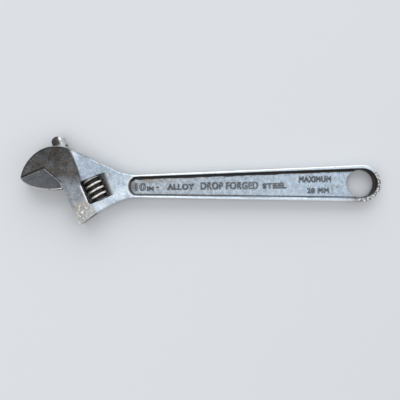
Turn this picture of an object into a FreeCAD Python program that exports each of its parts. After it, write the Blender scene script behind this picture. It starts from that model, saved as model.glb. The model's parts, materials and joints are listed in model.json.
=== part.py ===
"""Adjustable wrench, 10 in nominal: forging, sliding jaw, knurl, knurl pin and knurl spring.

Row frame, millimetres: the origin is the centre of the hang hole on the mid plane of the wrench,
+X runs along the handle away from the jaws, and +Z is square to the flat faces.

Head frame: the head is tilted to the handle. Its origin is the inner corner of the fixed jaw.
"along" is the way the moving jaw opens, "back" runs from the jaw tips towards the handle,
and along x back = +Z.
"""

import FreeCAD, Part
import math
import os

import Sketcher

Vector = FreeCAD.Vector
Y_DIRECTION = Vector(0, 1, 0)
Z_DIRECTION = Vector(0, 0, 1)
FULL_TURN = 360
SAME_POINT = 1e-6
SMALLEST_CUT = 1e-3
ORIGIN = "0"
FAR = "dims.far"
OVERSHOOT = "dims.overshoot"
HEAD_TURN = "dims.head_tilt - 90"
ROW_X_OF_CORNER = "dims.corner_x"
ROW_Y_OF_CORNER = "dims.corner_y"

DIMENSIONS = [
    # The forging's handle, in the row frame.
    ("hang_hole_radius", 9.8),
    ("ring_centre_x", 1.3),
    ("ring_radius", 12.95),
    ("neck_end_x", -157.0),
    ("neck_end_half_width", 8.0),
    ("handle_thickness", 9.0),
    ("handle_taper", 1.79),
    # The hollow panel in each face of the handle.
    ("rim_width", 2.2),
    ("panel_depth", 2.6),
    ("panel_wall_slope", 22.0),
    ("panel_end_x", -164.6),
    ("panel_shoulder_x", -160.4),
    ("panel_shoulder_half_width", 6.7),
    # The neck's curved edges, in the row frame.
    ("neck_top_x", -173.5),
    ("neck_top_y", 11.6),
    ("neck_top_bend_x", -165.5),
    ("neck_top_bend_y", 8.75),
    ("neck_low_x", -187.2),
    ("neck_low_y", -18.6),
    ("neck_low_sweep_x", -178.8),
    ("neck_low_sweep_y", -14.15),
    ("neck_low_turn_x", -170.4),
    ("neck_low_turn_y", -10.35),
    ("neck_low_bend_x", -163.6),
    ("neck_low_bend_y", -8.5),
    # The head, in the head frame.
    ("corner_x", -223.27),
    ("corner_y", 13.57),
    ("head_tilt", 22.5),
    ("head_thickness", 14.5),
    ("jaw_face_length", 18.0),
    ("crown_bulge_along", -6.95),
    ("crown_bulge_back", -11.5),
    ("crown_top_along", -12.9),
    ("crown_top_back", 3.3),
    ("crown_fall_along", -11.55),
    ("crown_fall_back", 12.3),
    ("crown_end_along", -6.9),
    ("crown_end_back", 20.5),
    ("throat_along", 13.7),
    ("front_back", 6.95),
    ("heel_along", 46.6),
    # How the head thins down to the handle, from the end of its flat faces.
    ("flat_end_back", 20.3),
    ("shoulder_back", 23.8),
    ("shoulder_half_thickness", 6.2),
    ("sweep_back", 32.0),
    ("sweep_half_thickness", 5.0),
    ("sweep_end_back", 46.0),
    # The window that holds the knurl, and the thumb relief on its handle side.
    ("window_start", 19.0),
    ("window_end", 36.4),
    ("window_front", 19.25),
    ("window_rear", 34.8),
    ("window_corner_radius", 1.6),
    ("relief_back", 39.6),
    ("relief_half_thickness", 2.9),
    # The moving jaw.
    ("closed_gap", 0.05),
    ("sliding_gap", 0.12),
    ("jaw_thickness", 14.1),
    ("jaw_tip_along", 0.95),
    ("jaw_tip_back", -18.35),
    ("jaw_belly_along", 5.6),
    ("jaw_belly_back", -16.1),
    ("jaw_middle_along", 10.0),
    ("jaw_middle_back", -11.75),
    ("jaw_root_bend_along", 15.35),
    ("jaw_root_bend_back", -3.35),
    ("jaw_root_along", 18.5),
    ("web_thickness", 5.0),
    ("web_start", 4.0),
    ("web_overlap", 2.5),
    ("web_slot_width", 5.3),
    ("web_slot_start", 3.6),
    ("rack_back", 15.65),
    ("rack_radius", 5.1),
    ("rack_bore_radius", 5.2),
    ("rack_start", -17.8),
    ("rack_end", 28.5),
    ("rack_slant_back", 15.6),
    ("rack_slant_drop", 3.2),
    ("groove_count", 10.0),
    ("groove_floor_width", 1.7),
    ("groove_mouth_width", 2.6),
    ("groove_depth", 1.4),
    # The knurl, a single-start right-hand worm in mesh with the rack.
    ("pitch", 4.2),
    ("knurl_back", 27.0),
    ("knurl_radius", 7.35),
    ("knurl_length", 16.9),
    ("knurl_edge", 0.8),
    ("knurl_bore_radius", 2.06),
    ("thread_crest_width", 1.2),
    ("thread_depth", 2.2),
    ("thread_flank_angle", 20.0),
    ("thread_phase", 1.69),
    ("thread_lead_in", 3.0),
    ("counterbore_radius", 3.1),
    ("counterbore_depth", 5.5),
    # The knurl pin and the spring on it.
    ("pin_radius", 2.0),
    ("pin_start", 13.5),
    ("pin_hole_start", 13.2),
    ("pin_hole_radius", 2.04),
    ("pin_head_start", 37.9),
    ("pin_head_end", 42.6),
    ("pin_head_radius", 2.95),
    ("pin_head_hole_radius", 3.0),
    ("pin_head_hole_start", 37.7),
    ("pin_chamfer", 0.4),
    ("pin_slot_width", 0.9),
    ("pin_slot_depth", 1.3),
    ("spring_coil_radius", 2.52),
    ("spring_wire_radius", 0.28),
    ("spring_pitch", 1.25),
    ("spring_turns", 4.0),
    ("spring_end_gap", 0.05),
    # How far a cut runs past the metal: beyond everything, beyond an edge, and over a thread.
    ("far", 260.0),
    ("overshoot", 1.0),
    ("thread_overshoot", 0.4),
]


# ---------------------------------------------------------------- the sheet and its values

def make_sheet(document):
    """A spreadsheet with one row per driving dimension: its name and its value."""
    sheet = document.addObject("Spreadsheet::Sheet", "dims")
    for row, (name, value) in enumerate(DIMENSIONS, start=1):
        sheet.set(f"A{row}", name)
        sheet.set(f"B{row}", str(value))
        sheet.setAlias(f"B{row}", name)
    document.recompute()
    return sheet


def number(sheet, expression):
    """The value, as a plain float, of an expression over the sheet."""
    value = sheet.evalExpression(expression)
    return float(getattr(value, "Value", value))


def half(name):
    return f"dims.{name} / 2"


def negative(expression):
    return f"-({expression})"


def head_point(along, back):
    """Row-frame x and y of a point of the head frame."""
    sine = "sin(dims.head_tilt * 1deg)"
    cosine = "cos(dims.head_tilt * 1deg)"
    x = f"{ROW_X_OF_CORNER} + ({along}) * {sine} + ({back}) * {cosine}"
    y = f"{ROW_Y_OF_CORNER} - ({along}) * {cosine} + ({back}) * {sine}"
    return x, y


# ---------------------------------------------------------------- sketching

def origin_feature(body, role):
    return next(item for item in body.Origin.OriginFeatures if item.Role == role)


def add_sketch(body, name, plane, placement=None):
    """A sketch on one of the body's own origin planes, moved by a placement in that plane's axes."""
    sketch = body.newObject("Sketcher::SketchObject", name)
    sketch.AttachmentSupport = [(origin_feature(body, plane), "")]
    sketch.MapMode = "FlatFace"
    if placement is not None:
        sketch.AttachmentOffset = placement
    return sketch


def pin_down(sheet, sketch, geometry, position, point):
    """Fix one end of a sketch element at a point given by two expressions."""
    for kind, expression in zip(("DistanceX", "DistanceY"), point):
        constraint = Sketcher.Constraint(kind, -1, 1, geometry, position, number(sheet, expression))
        index = sketch.addConstraint(constraint)
        sketch.setExpression(f"Constraints[{index}]", expression)


def draw_outline(sheet, sketch, corners):
    """A closed outline. A corner is (point, through): the edge that leaves the corner is straight
    where through is None, and otherwise an arc that passes through that point."""
    numeric = [Vector(number(sheet, x), number(sheet, y), 0) for (x, y), through in corners]
    first = len(sketch.Geometry)
    bends = []
    for index, (point, through) in enumerate(corners):
        start = numeric[index]
        end = numeric[(index + 1) % len(corners)]
        if through is None:
            sketch.addGeometry(Part.LineSegment(start, end), False)
            continue
        middle = Vector(number(sheet, through[0]), number(sheet, through[1]), 0)
        geometry = sketch.addGeometry(Part.Arc(start, middle, end), False)
        bends.append((geometry, middle, through))
    ends = [edge_ends(sketch, first + index, numeric[index]) for index in range(len(corners))]
    for index, (point, through) in enumerate(corners):
        following = (index + 1) % len(corners)
        joint = Sketcher.Constraint("Coincident", first + index, ends[index][1],
                                    first + following, ends[following][0])
        sketch.addConstraint(joint)
        pin_down(sheet, sketch, first + index, ends[index][0], point)
    for geometry, middle, through in bends:
        mark = sketch.addGeometry(Part.Point(middle), True)
        pin_down(sheet, sketch, mark, 1, through)
        sketch.addConstraint(Sketcher.Constraint("PointOnObject", mark, 1, geometry))


def edge_ends(sketch, geometry, start):
    """Which ends of an edge are its start and its finish on the outline: an arc that is drawn
    clockwise is stored the other way round."""
    if sketch.getPoint(geometry, 1).distanceToPoint(start) < SAME_POINT:
        return 1, 2
    return 2, 1


def draw_circle(sheet, sketch, centre, radius):
    middle = Vector(number(sheet, centre[0]), number(sheet, centre[1]), 0)
    circle = Part.Circle(middle, Z_DIRECTION, number(sheet, radius))
    geometry = sketch.addGeometry(circle, False)
    pin_down(sheet, sketch, geometry, 3, centre)
    index = sketch.addConstraint(Sketcher.Constraint("Radius", geometry, number(sheet, radius)))
    sketch.setExpression(f"Constraints[{index}]", radius)


def draw_rectangle(sheet, sketch, low, high):
    corners = [(low[0], low[1]), (high[0], low[1]), (high[0], high[1]), (low[0], high[1])]
    draw_outline(sheet, sketch, [(corner, None) for corner in corners])


def draw_rounded_rectangle(sheet, sketch, low, high, radius):
    """A rectangle between two corners, with an arc of the radius at each of its own corners."""
    short = f"{radius} * (1 - sqrt(0.5))"
    (left, front), (right, rear) = low, high
    corners = [
        ((f"{left} + {radius}", front), None),
        ((f"{right} - {radius}", front), (f"{right} - {short}", f"{front} + {short}")),
        ((right, f"{front} + {radius}"), None),
        ((right, f"{rear} - {radius}"), (f"{right} - {short}", f"{rear} - {short}")),
        ((f"{right} - {radius}", rear), None),
        ((f"{left} + {radius}", rear), (f"{left} + {short}", f"{rear} - {short}")),
        ((left, f"{rear} - {radius}"), None),
        ((left, f"{front} + {radius}"), (f"{left} + {short}", f"{front} + {short}")),
    ]
    draw_outline(sheet, sketch, corners)


# ---------------------------------------------------------------- features

def settle(body, feature):
    """Recompute and make the feature the body's tip."""
    body.Tip = feature
    body.Document.recompute()
    return feature


def add_pad(body, sketch, name, length):
    """A pad that stands half on each side of its sketch."""
    pad = body.newObject("PartDesign::Pad", name)
    pad.Profile = sketch
    pad.SideType = "Symmetric"
    pad.setExpression("Length", length)
    return settle(body, pad)


def add_cut(body, sketch, name, length=None, two_sided=True, taper=None):
    """A pocket: through all without a length, and checked to have taken metal away."""
    before = body.Shape.Volume
    cut = body.newObject("PartDesign::Pocket", name)
    cut.Profile = sketch
    if two_sided:
        cut.SideType = "Symmetric"
    if length is None:
        cut.Type = "ThroughAll"
    else:
        cut.setExpression("Length", length)
    if taper is not None:
        cut.setExpression("TaperAngle", taper)
    settle(body, cut)
    check_removed(body, before, name)
    return cut


def check_removed(body, before, name):
    if body.Shape.isNull() or body.Shape.Volume > before - SMALLEST_CUT:
        raise RuntimeError(f"{name} takes nothing away from {body.Label}")


def head_plane(sheet, along=ORIGIN, back=ORIGIN):
    """Offset, on the XY plane, of a sketch or body whose x is along and whose y is back."""
    x, y = head_point(along, back)
    place = Vector(number(sheet, x), number(sheet, y), 0)
    return FreeCAD.Placement(place, FreeCAD.Rotation(Z_DIRECTION, number(sheet, HEAD_TURN)))


def head_section(sheet, along):
    """Offset, on the XZ plane, of a sketch whose x is back, whose y is +Z and whose normal is along."""
    x, y = head_point(along, ORIGIN)
    place = Vector(number(sheet, x), 0, -number(sheet, y))
    return FreeCAD.Placement(place, FreeCAD.Rotation(Y_DIRECTION, number(sheet, "dims.head_tilt")))


def place_in_head(sheet, body, along=ORIGIN, back=ORIGIN):
    """Put a body whose own x is along and whose own y is back at a point of the head frame."""
    body.Placement = head_plane(sheet, along, back)


# ---------------------------------------------------------------- the forging

def silhouette_corners():
    """The whole forging seen from above: jaw, crown, neck, handle, ring, neck, heel and throat."""
    ring_y = "dims.ring_radius * cos(dims.handle_taper * 1deg)"
    ring_x = "dims.ring_centre_x - dims.ring_radius * sin(dims.handle_taper * 1deg)"
    neck_end = ("dims.neck_end_x", "dims.neck_end_half_width")
    return [
        (head_point(ORIGIN, ORIGIN), None),
        (head_point(ORIGIN, "-dims.jaw_face_length"),
         head_point("dims.crown_bulge_along", "dims.crown_bulge_back")),
        (head_point("dims.crown_top_along", "dims.crown_top_back"),
         head_point("dims.crown_fall_along", "dims.crown_fall_back")),
        (head_point("dims.crown_end_along", "dims.crown_end_back"), None),
        (("dims.neck_top_x", "dims.neck_top_y"), ("dims.neck_top_bend_x", "dims.neck_top_bend_y")),
        (neck_end, None),
        ((ring_x, ring_y), ("dims.ring_centre_x + dims.ring_radius", ORIGIN)),
        ((ring_x, negative(ring_y)), None),
        ((neck_end[0], negative(neck_end[1])), ("dims.neck_low_bend_x", "dims.neck_low_bend_y")),
        (("dims.neck_low_turn_x", "dims.neck_low_turn_y"),
         ("dims.neck_low_sweep_x", "dims.neck_low_sweep_y")),
        (("dims.neck_low_x", "dims.neck_low_y"), None),
        (head_point("dims.heel_along", "dims.front_back"), None),
        (head_point("dims.throat_along", "dims.front_back"), None),
    ]


def thinning_corners(side):
    """What is cut off one face of the head, neck and handle, seen along the head's cross-section."""
    face = f"({side}) * {half('handle_thickness')}"
    return [
        (("dims.flat_end_back", f"({side}) * {half('head_thickness')}"), None),
        (("dims.shoulder_back", f"({side}) * dims.shoulder_half_thickness"),
         ("dims.sweep_back", f"({side}) * dims.sweep_half_thickness")),
        (("dims.sweep_end_back", face), None),
        ((FAR, face), None),
        ((FAR, f"({side}) * dims.head_thickness"), None),
        (("dims.flat_end_back", f"({side}) * dims.head_thickness"), None),
    ]


def panel_corners():
    """The hollow panel at the handle's face: a constant rim all round, and a round front end."""
    radius = "(dims.ring_radius - dims.rim_width)"
    end_x = f"dims.ring_centre_x - {radius} * sin(dims.handle_taper * 1deg)"
    end_y = f"{radius} * cos(dims.handle_taper * 1deg)"
    shoulder = ("dims.panel_shoulder_x", "dims.panel_shoulder_half_width")
    return [
        (shoulder, None),
        ((end_x, end_y), (f"dims.ring_centre_x + {radius}", ORIGIN)),
        ((end_x, negative(end_y)), None),
        ((shoulder[0], negative(shoulder[1])), ("dims.panel_end_x", ORIGIN)),
    ]


def cut_panels(sheet, body):
    """One sloping-walled pocket in each face of the handle."""
    face = number(sheet, half("handle_thickness"))
    top = add_sketch(body, "panel_outline", "XY_Plane", FreeCAD.Placement(Vector(0, 0, face),
                                                                        FreeCAD.Rotation()))
    top.setExpression("AttachmentOffset.Base.z", half("handle_thickness"))
    draw_outline(sheet, top, panel_corners())
    pocket = add_cut(body, top, "panel", "dims.panel_depth", two_sided=False,
                     taper="-dims.panel_wall_slope")
    before = body.Shape.Volume
    mirror = body.newObject("PartDesign::Mirrored", "panels")
    mirror.Originals = [pocket]
    mirror.MirrorPlane = (origin_feature(body, "XY_Plane"), [""])
    settle(body, mirror)
    check_removed(body, before, "panels")


def cut_window(sheet, body):
    """The knurl's window right through the head, and the sloping thumb relief behind it."""
    opening = add_sketch(body, "window_outline", "XY_Plane", head_plane(sheet))
    draw_rounded_rectangle(sheet, opening, ("dims.window_start", "dims.window_front"),
                           ("dims.window_end", "dims.window_rear"), "dims.window_corner_radius")
    add_cut(body, opening, "window")
    middle = "(dims.window_start + dims.window_end) / 2"
    relief = add_sketch(body, "relief_outline", "XZ_Plane", head_section(sheet, middle))
    inside = "dims.window_rear - dims.window_corner_radius"
    for side in ("1", "-1"):
        deep = f"({side}) * dims.relief_half_thickness"
        high = f"({side}) * {half('head_thickness')}"
        edge = f"({side}) * dims.sweep_half_thickness"
        corners = [("dims.window_rear", deep), ("dims.relief_back", edge),
                   ("dims.relief_back", high), (inside, high), (inside, deep)]
        draw_outline(sheet, relief, [(corner, None) for corner in corners])
    add_cut(body, relief, "thumb_relief", "dims.window_end - dims.window_start")


def cut_rack_channel(sheet, body):
    """The round bore that guides the rack, right through the head, and the slot for the web."""
    bore = add_sketch(body, "rack_bore_outline", "XZ_Plane", head_section(sheet, ORIGIN))
    draw_circle(sheet, bore, ("dims.rack_back", ORIGIN), "dims.rack_bore_radius")
    add_cut(body, bore, "rack_bore")
    slot = add_sketch(body, "web_slot_outline", "XY_Plane", head_plane(sheet))
    draw_rectangle(sheet, slot, ("dims.web_slot_start", "-dims.rack_radius"),
                   (FAR, "dims.rack_back"))
    add_cut(body, slot, "web_slot", "dims.web_slot_width")


def cut_pin_hole(sheet, body):
    """The stepped hole that the knurl pin is screwed into, from the heel of the head."""
    for name, radius, floor in (("pin_hole", "dims.pin_hole_radius", "dims.pin_hole_start"),
                                ("pin_head_hole", "dims.pin_head_hole_radius",
                                 "dims.pin_head_hole_start")):
        sketch = add_sketch(body, f"{name}_outline", "XZ_Plane", head_section(sheet, FAR))
        draw_circle(sheet, sketch, ("dims.knurl_back", ORIGIN), radius)
        add_cut(body, sketch, name, f"{FAR} - {floor}", two_sided=False)


def make_forging(document, sheet):
    body = document.addObject("PartDesign::Body", "wrench_body")
    silhouette = add_sketch(body, "silhouette", "XY_Plane")
    draw_outline(sheet, silhouette, silhouette_corners())
    add_pad(body, silhouette, "blank", "dims.head_thickness")
    thinning = add_sketch(body, "thinning", "XZ_Plane", head_section(sheet, ORIGIN))
    draw_outline(sheet, thinning, thinning_corners("1"))
    draw_outline(sheet, thinning, thinning_corners("-1"))
    add_cut(body, thinning, "neck_and_handle_faces")
    cut_panels(sheet, body)
    hole = add_sketch(body, "hang_hole_outline", "XY_Plane")
    draw_circle(sheet, hole, (ORIGIN, ORIGIN), "dims.hang_hole_radius")
    add_cut(body, hole, "hang_hole")
    cut_rack_channel(sheet, body)
    cut_window(sheet, body)
    cut_pin_hole(sheet, body)
    return body


# ---------------------------------------------------------------- the moving jaw

def leaf_corners():
    """The jaw's thick leaf: gripping face, tip, belly, root, and the slant beside the throat."""
    slope = "(dims.front_back / dims.throat_along)"
    root_back = "dims.front_back - dims.sliding_gap"
    slant_back = f"-dims.sliding_gap * sqrt(1 + {slope} ^ 2)"
    slant_along = f"({root_back} - ({slant_back})) / {slope}"
    return [
        (("dims.closed_gap", f"{slant_back} + dims.closed_gap * {slope}"), None),
        (("dims.closed_gap", "-dims.jaw_face_length"), None),
        (("dims.jaw_tip_along", "dims.jaw_tip_back"),
         ("dims.jaw_belly_along", "dims.jaw_belly_back")),
        (("dims.jaw_middle_along", "dims.jaw_middle_back"),
         ("dims.jaw_root_bend_along", "dims.jaw_root_bend_back")),
        (("dims.jaw_root_along", root_back), None),
        ((slant_along, root_back), None),
    ]


def web_corners():
    """The thin web that joins the leaf to the rack through the head's slot."""
    inside_leaf = "dims.jaw_root_along - dims.web_overlap"
    heel_back = "dims.front_back + dims.sliding_gap"
    return [
        (("dims.web_start", ORIGIN), None),
        ((inside_leaf, ORIGIN), None),
        ((inside_leaf, heel_back), None),
        (("dims.rack_end", heel_back), None),
        (("dims.rack_end", "dims.rack_back"), None),
        (("dims.web_start", "dims.rack_back"), None),
    ]


def add_rack(sheet, body):
    """The round rack, whose end is cut on a slant on its handle side."""
    middle = "(dims.rack_start + dims.rack_end) / 2"
    section = add_sketch(body, "rack_section", "YZ_Plane",
                         FreeCAD.Placement(Vector(0, 0, number(sheet, middle)), FreeCAD.Rotation()))
    section.setExpression("AttachmentOffset.Base.z", middle)
    draw_circle(sheet, section, ("dims.rack_back", ORIGIN), "dims.rack_radius")
    add_pad(body, section, "rack", "dims.rack_end - dims.rack_start")
    slant = add_sketch(body, "rack_slant", "XY_Plane")
    run = "(dims.rack_back + dims.rack_radius - dims.rack_slant_back)"
    beyond = f"dims.rack_slant_back + {run} + {OVERSHOOT}"
    drop = f"dims.rack_slant_drop * ({run} + {OVERSHOOT}) / {run}"
    outside = f"dims.rack_start - {OVERSHOOT}"
    draw_outline(sheet, slant, [(("dims.rack_start", "dims.rack_slant_back"), None),
                                ((f"dims.rack_start + {drop}", beyond), None),
                                ((outside, beyond), None),
                                ((outside, "dims.rack_slant_back"), None)])
    add_cut(body, slant, "rack_slant_cut", FAR)


def cut_teeth(sheet, body):
    """Grooves across the rack's handle side, at the knurl's pitch and leaning at its helix angle."""
    helix_angle = math.degrees(math.atan(number(sheet, "dims.pitch / (2 * pi * dims.knurl_radius)")))
    mesh = "(dims.window_start + dims.window_end) / 2 + dims.thread_phase"
    length = "dims.pitch * (dims.groove_count - 1)"
    first = f"{mesh} - {length}"
    place = FreeCAD.Placement(Vector(number(sheet, first), number(sheet, "dims.rack_back"), 0),
                              FreeCAD.Rotation(Y_DIRECTION, -helix_angle))
    sketch = add_sketch(body, "groove_section", "XY_Plane", place)
    floor = "dims.rack_radius - dims.groove_depth"
    mouth = "dims.rack_radius + dims.thread_overshoot"
    draw_outline(sheet, sketch, [((negative(half("groove_floor_width")), floor), None),
                                 ((half("groove_floor_width"), floor), None),
                                 ((half("groove_mouth_width"), mouth), None),
                                 ((negative(half("groove_mouth_width")), mouth), None)])
    groove = add_cut(body, sketch, "groove", f"2 * (dims.rack_radius + {OVERSHOOT})")
    before = body.Shape.Volume
    grooves = body.newObject("PartDesign::LinearPattern", "teeth")
    grooves.Originals = [groove]
    grooves.Direction = (origin_feature(body, "X_Axis"), [""])
    grooves.setExpression("Length", length)
    grooves.Occurrences = int(number(sheet, "dims.groove_count"))
    settle(body, grooves)
    check_removed(body, before, "teeth")


def make_jaw(document, sheet):
    body = document.addObject("PartDesign::Body", "movable_jaw")
    leaf = add_sketch(body, "leaf_outline", "XY_Plane")
    draw_outline(sheet, leaf, leaf_corners())
    add_pad(body, leaf, "leaf", "dims.jaw_thickness")
    web = add_sketch(body, "web_outline", "XY_Plane")
    draw_outline(sheet, web, web_corners())
    add_pad(body, web, "web", "dims.web_thickness")
    add_rack(sheet, body)
    cut_teeth(sheet, body)
    place_in_head(sheet, body)
    return body


# ---------------------------------------------------------------- the knurl, its pin and its spring

def revolve_x(body, sketch, name):
    turned = body.newObject("PartDesign::Revolution", name)
    turned.Profile = sketch
    turned.ReferenceAxis = (origin_feature(body, "X_Axis"), [""])
    turned.Angle = FULL_TURN
    return settle(body, turned)


def knurl_corners():
    """Half of the knurl's section: a tube with bevelled ends and the spring's counterbore."""
    end = half("knurl_length")
    start = negative(end)
    bevel = "dims.knurl_radius - dims.knurl_edge"
    return [(point, None) for point in (
        (start, "dims.knurl_bore_radius"),
        (f"{end} - dims.counterbore_depth", "dims.knurl_bore_radius"),
        (f"{end} - dims.counterbore_depth", "dims.counterbore_radius"),
        (end, "dims.counterbore_radius"),
        (end, bevel),
        (f"{end} - dims.knurl_edge / 2", "dims.knurl_radius"),
        (f"{start} + dims.knurl_edge / 2", "dims.knurl_radius"),
        (start, bevel),
    )]


def thread_space_corners():
    """The section of the worm's groove, some pitches before the knurl so that it runs in."""
    middle = "(dims.thread_phase - dims.thread_lead_in * dims.pitch)"
    rise = "tan(dims.thread_flank_angle * 1deg)"
    mouth = "(dims.pitch - dims.thread_crest_width) / 2"
    over = "dims.thread_overshoot"
    outer = f"{mouth} + {over} * {rise}"
    inner = f"{mouth} - dims.thread_depth * {rise}"
    return [(point, None) for point in (
        (f"{middle} - ({inner})", "dims.knurl_radius - dims.thread_depth"),
        (f"{middle} + {inner}", "dims.knurl_radius - dims.thread_depth"),
        (f"{middle} + {outer}", f"dims.knurl_radius + {over}"),
        (f"{middle} - ({outer})", f"dims.knurl_radius + {over}"),
    )]


def make_knurl(document, sheet):
    body = document.addObject("PartDesign::Body", "knurl")
    section = add_sketch(body, "knurl_section", "XY_Plane")
    draw_outline(sheet, section, knurl_corners())
    revolve_x(body, section, "knurl_blank")
    space = add_sketch(body, "thread_space", "XY_Plane")
    draw_outline(sheet, space, thread_space_corners())
    before = body.Shape.Volume
    worm = body.newObject("PartDesign::SubtractiveHelix", "worm_thread")
    worm.Profile = space
    worm.ReferenceAxis = (origin_feature(body, "X_Axis"), [""])
    worm.Mode = "pitch-height-angle"
    worm.setExpression("Pitch", "dims.pitch")
    worm.setExpression("Height", "dims.knurl_length + dims.thread_lead_in * dims.pitch")
    worm.LeftHanded = False
    settle(body, worm)
    check_removed(body, before, "worm_thread")
    place_in_head(sheet, body, "(dims.window_start + dims.window_end) / 2", "dims.knurl_back")
    return body


def pin_corners():
    """Half of the pin's section: a plain shank, and the larger screwed end."""
    bevel = "dims.pin_chamfer"
    return [(point, None) for point in (
        ("dims.pin_start", ORIGIN),
        ("dims.pin_head_end", ORIGIN),
        ("dims.pin_head_end", f"dims.pin_head_radius - {bevel}"),
        (f"dims.pin_head_end - {bevel}", "dims.pin_head_radius"),
        ("dims.pin_head_start", "dims.pin_head_radius"),
        ("dims.pin_head_start", "dims.pin_radius"),
        (f"dims.pin_start + {bevel}", "dims.pin_radius"),
        ("dims.pin_start", f"dims.pin_radius - {bevel}"),
    )]


def make_pin(document, sheet):
    body = document.addObject("PartDesign::Body", "knurl_pin")
    section = add_sketch(body, "pin_section", "XY_Plane")
    draw_outline(sheet, section, pin_corners())
    revolve_x(body, section, "pin_blank")
    slot = add_sketch(body, "screwdriver_slot_outline", "XY_Plane")
    beyond = f"dims.pin_head_radius + {OVERSHOOT}"
    draw_rectangle(sheet, slot, ("dims.pin_head_end - dims.pin_slot_depth", negative(beyond)),
                   (f"dims.pin_head_end + {OVERSHOOT}", beyond))
    add_cut(body, slot, "screwdriver_slot", "dims.pin_slot_width")
    place_in_head(sheet, body, ORIGIN, "dims.knurl_back")
    return body


def make_spring(document, sheet):
    """The compression spring in the knurl's counterbore, between its floor and the window's wall."""
    body = document.addObject("PartDesign::Body", "knurl_spring")
    wire = add_sketch(body, "wire_section", "XY_Plane")
    start = "dims.spring_wire_radius + dims.spring_end_gap"
    draw_circle(sheet, wire, (start, "dims.spring_coil_radius"), "dims.spring_wire_radius")
    coil = body.newObject("PartDesign::AdditiveHelix", "coil")
    coil.Profile = wire
    coil.ReferenceAxis = (origin_feature(body, "X_Axis"), [""])
    coil.Mode = "pitch-turns-angle"
    coil.setExpression("Pitch", "dims.spring_pitch")
    coil.setExpression("Turns", "dims.spring_turns")
    coil.LeftHanded = False
    settle(body, coil)
    seat = "(dims.window_start + dims.window_end + dims.knurl_length) / 2 - dims.counterbore_depth"
    place_in_head(sheet, body, seat, "dims.knurl_back")
    return body


# ---------------------------------------------------------------- checks and export

def check_document(document, bodies):
    for item in document.Objects:
        if "Invalid" in item.State or "Error" in item.State:
            raise RuntimeError(f"{item.Name} failed: {item.State}")
    for body in bodies:
        shape = body.Shape
        if shape.isNull() or not shape.isValid():
            raise RuntimeError(f"{body.Label} has no valid shape")
        if len(shape.Solids) != 1:
            raise RuntimeError(f"{body.Label} is {len(shape.Solids)} solids, not one")


def main():
    document = FreeCAD.newDocument("adjustable_wrench")
    sheet = make_sheet(document)
    bodies = [maker(document, sheet)
              for maker in (make_forging, make_jaw, make_knurl, make_pin, make_spring)]
    document.recompute()
    check_document(document, bodies)
    os.makedirs("parts", exist_ok=True)
    for body in bodies:
        body.Shape.exportStep(os.path.join("parts", f"{body.Label}.step"))
        print(body.Label, round(body.Shape.Volume), "mm3")


main()
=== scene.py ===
"""Looks of the adjustable wrench: forged body, sliding jaw, worm knurl, pin and spring.

Lengths are in millimetres until a mesh is made, and the frame is the CAD model's own.
"Along" is the way the jaw opens, and "back" runs square to it, from the jaw tips to the handle.
"""

import json
import math
from contextlib import contextmanager
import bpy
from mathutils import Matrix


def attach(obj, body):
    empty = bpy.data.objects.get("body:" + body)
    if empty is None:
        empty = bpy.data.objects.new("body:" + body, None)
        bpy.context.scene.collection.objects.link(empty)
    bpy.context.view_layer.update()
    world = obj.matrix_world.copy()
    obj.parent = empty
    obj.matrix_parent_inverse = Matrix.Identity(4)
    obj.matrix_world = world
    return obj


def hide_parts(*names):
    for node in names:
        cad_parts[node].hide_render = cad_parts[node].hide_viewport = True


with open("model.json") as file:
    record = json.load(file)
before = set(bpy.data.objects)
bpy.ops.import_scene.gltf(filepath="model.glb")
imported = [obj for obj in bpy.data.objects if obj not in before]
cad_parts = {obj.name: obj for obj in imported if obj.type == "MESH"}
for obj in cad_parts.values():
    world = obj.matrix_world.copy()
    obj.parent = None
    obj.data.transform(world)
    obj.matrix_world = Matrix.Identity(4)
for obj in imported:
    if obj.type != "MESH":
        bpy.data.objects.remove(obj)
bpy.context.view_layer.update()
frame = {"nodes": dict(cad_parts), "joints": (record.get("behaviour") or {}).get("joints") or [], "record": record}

from types import SimpleNamespace

import bmesh
import bpy
import numpy as np
from mathutils import Matrix, Vector, noise
from mathutils.geometry import delaunay_2d_cdt
from mathutils.kdtree import KDTree

MM = 0.001

RECORD = frame["record"]
MOUNTS = {mount["name"]: mount for mount in RECORD["mounts"]}
JOINTS = {joint["name"]: joint for joint in frame["joints"]}

# The head frame, from the jaw's slide and the middle of the fixed jaw's gripping face.
FACE_LENGTH = 18.0
ALONG = np.array(JOINTS["jaw_slide"]["axis"][:2])
BACK = np.array([-ALONG[1], ALONG[0]])
CORNER = np.array(MOUNTS["fixed_jaw_face"]["pos_m"][:2]) / MM + BACK * FACE_LENGTH / 2

HEAD_HALF = 7.25
HANDLE_HALF = 4.5
PANEL_DEPTH = 2.6
RING_CENTRE = np.array([1.3, 0.0])
RING_RADIUS = 12.95
HOLE_RADIUS = MOUNTS["hang_hole"]["dims"]["r_mm"]
HANDLE_TAPER = math.radians(1.79)
FLAT_END = 20.3
FRONT = 6.95
THROAT = 13.7
THROAT_SLOPE = 0.5073
RACK_BACK = 15.65
RACK_RADIUS = 5.1
BORE_RADIUS = 5.2
KNURL_BACK = 27.0


def head(along, back):
    """A point of the head frame, in the row's x and y."""
    return CORNER + along * ALONG + back * BACK


def head_coordinates(points):
    """How far along and how far back each point lies."""
    relative = points[:, :2] - CORNER
    return relative @ ALONG, relative @ BACK


# ---- outlines

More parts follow.
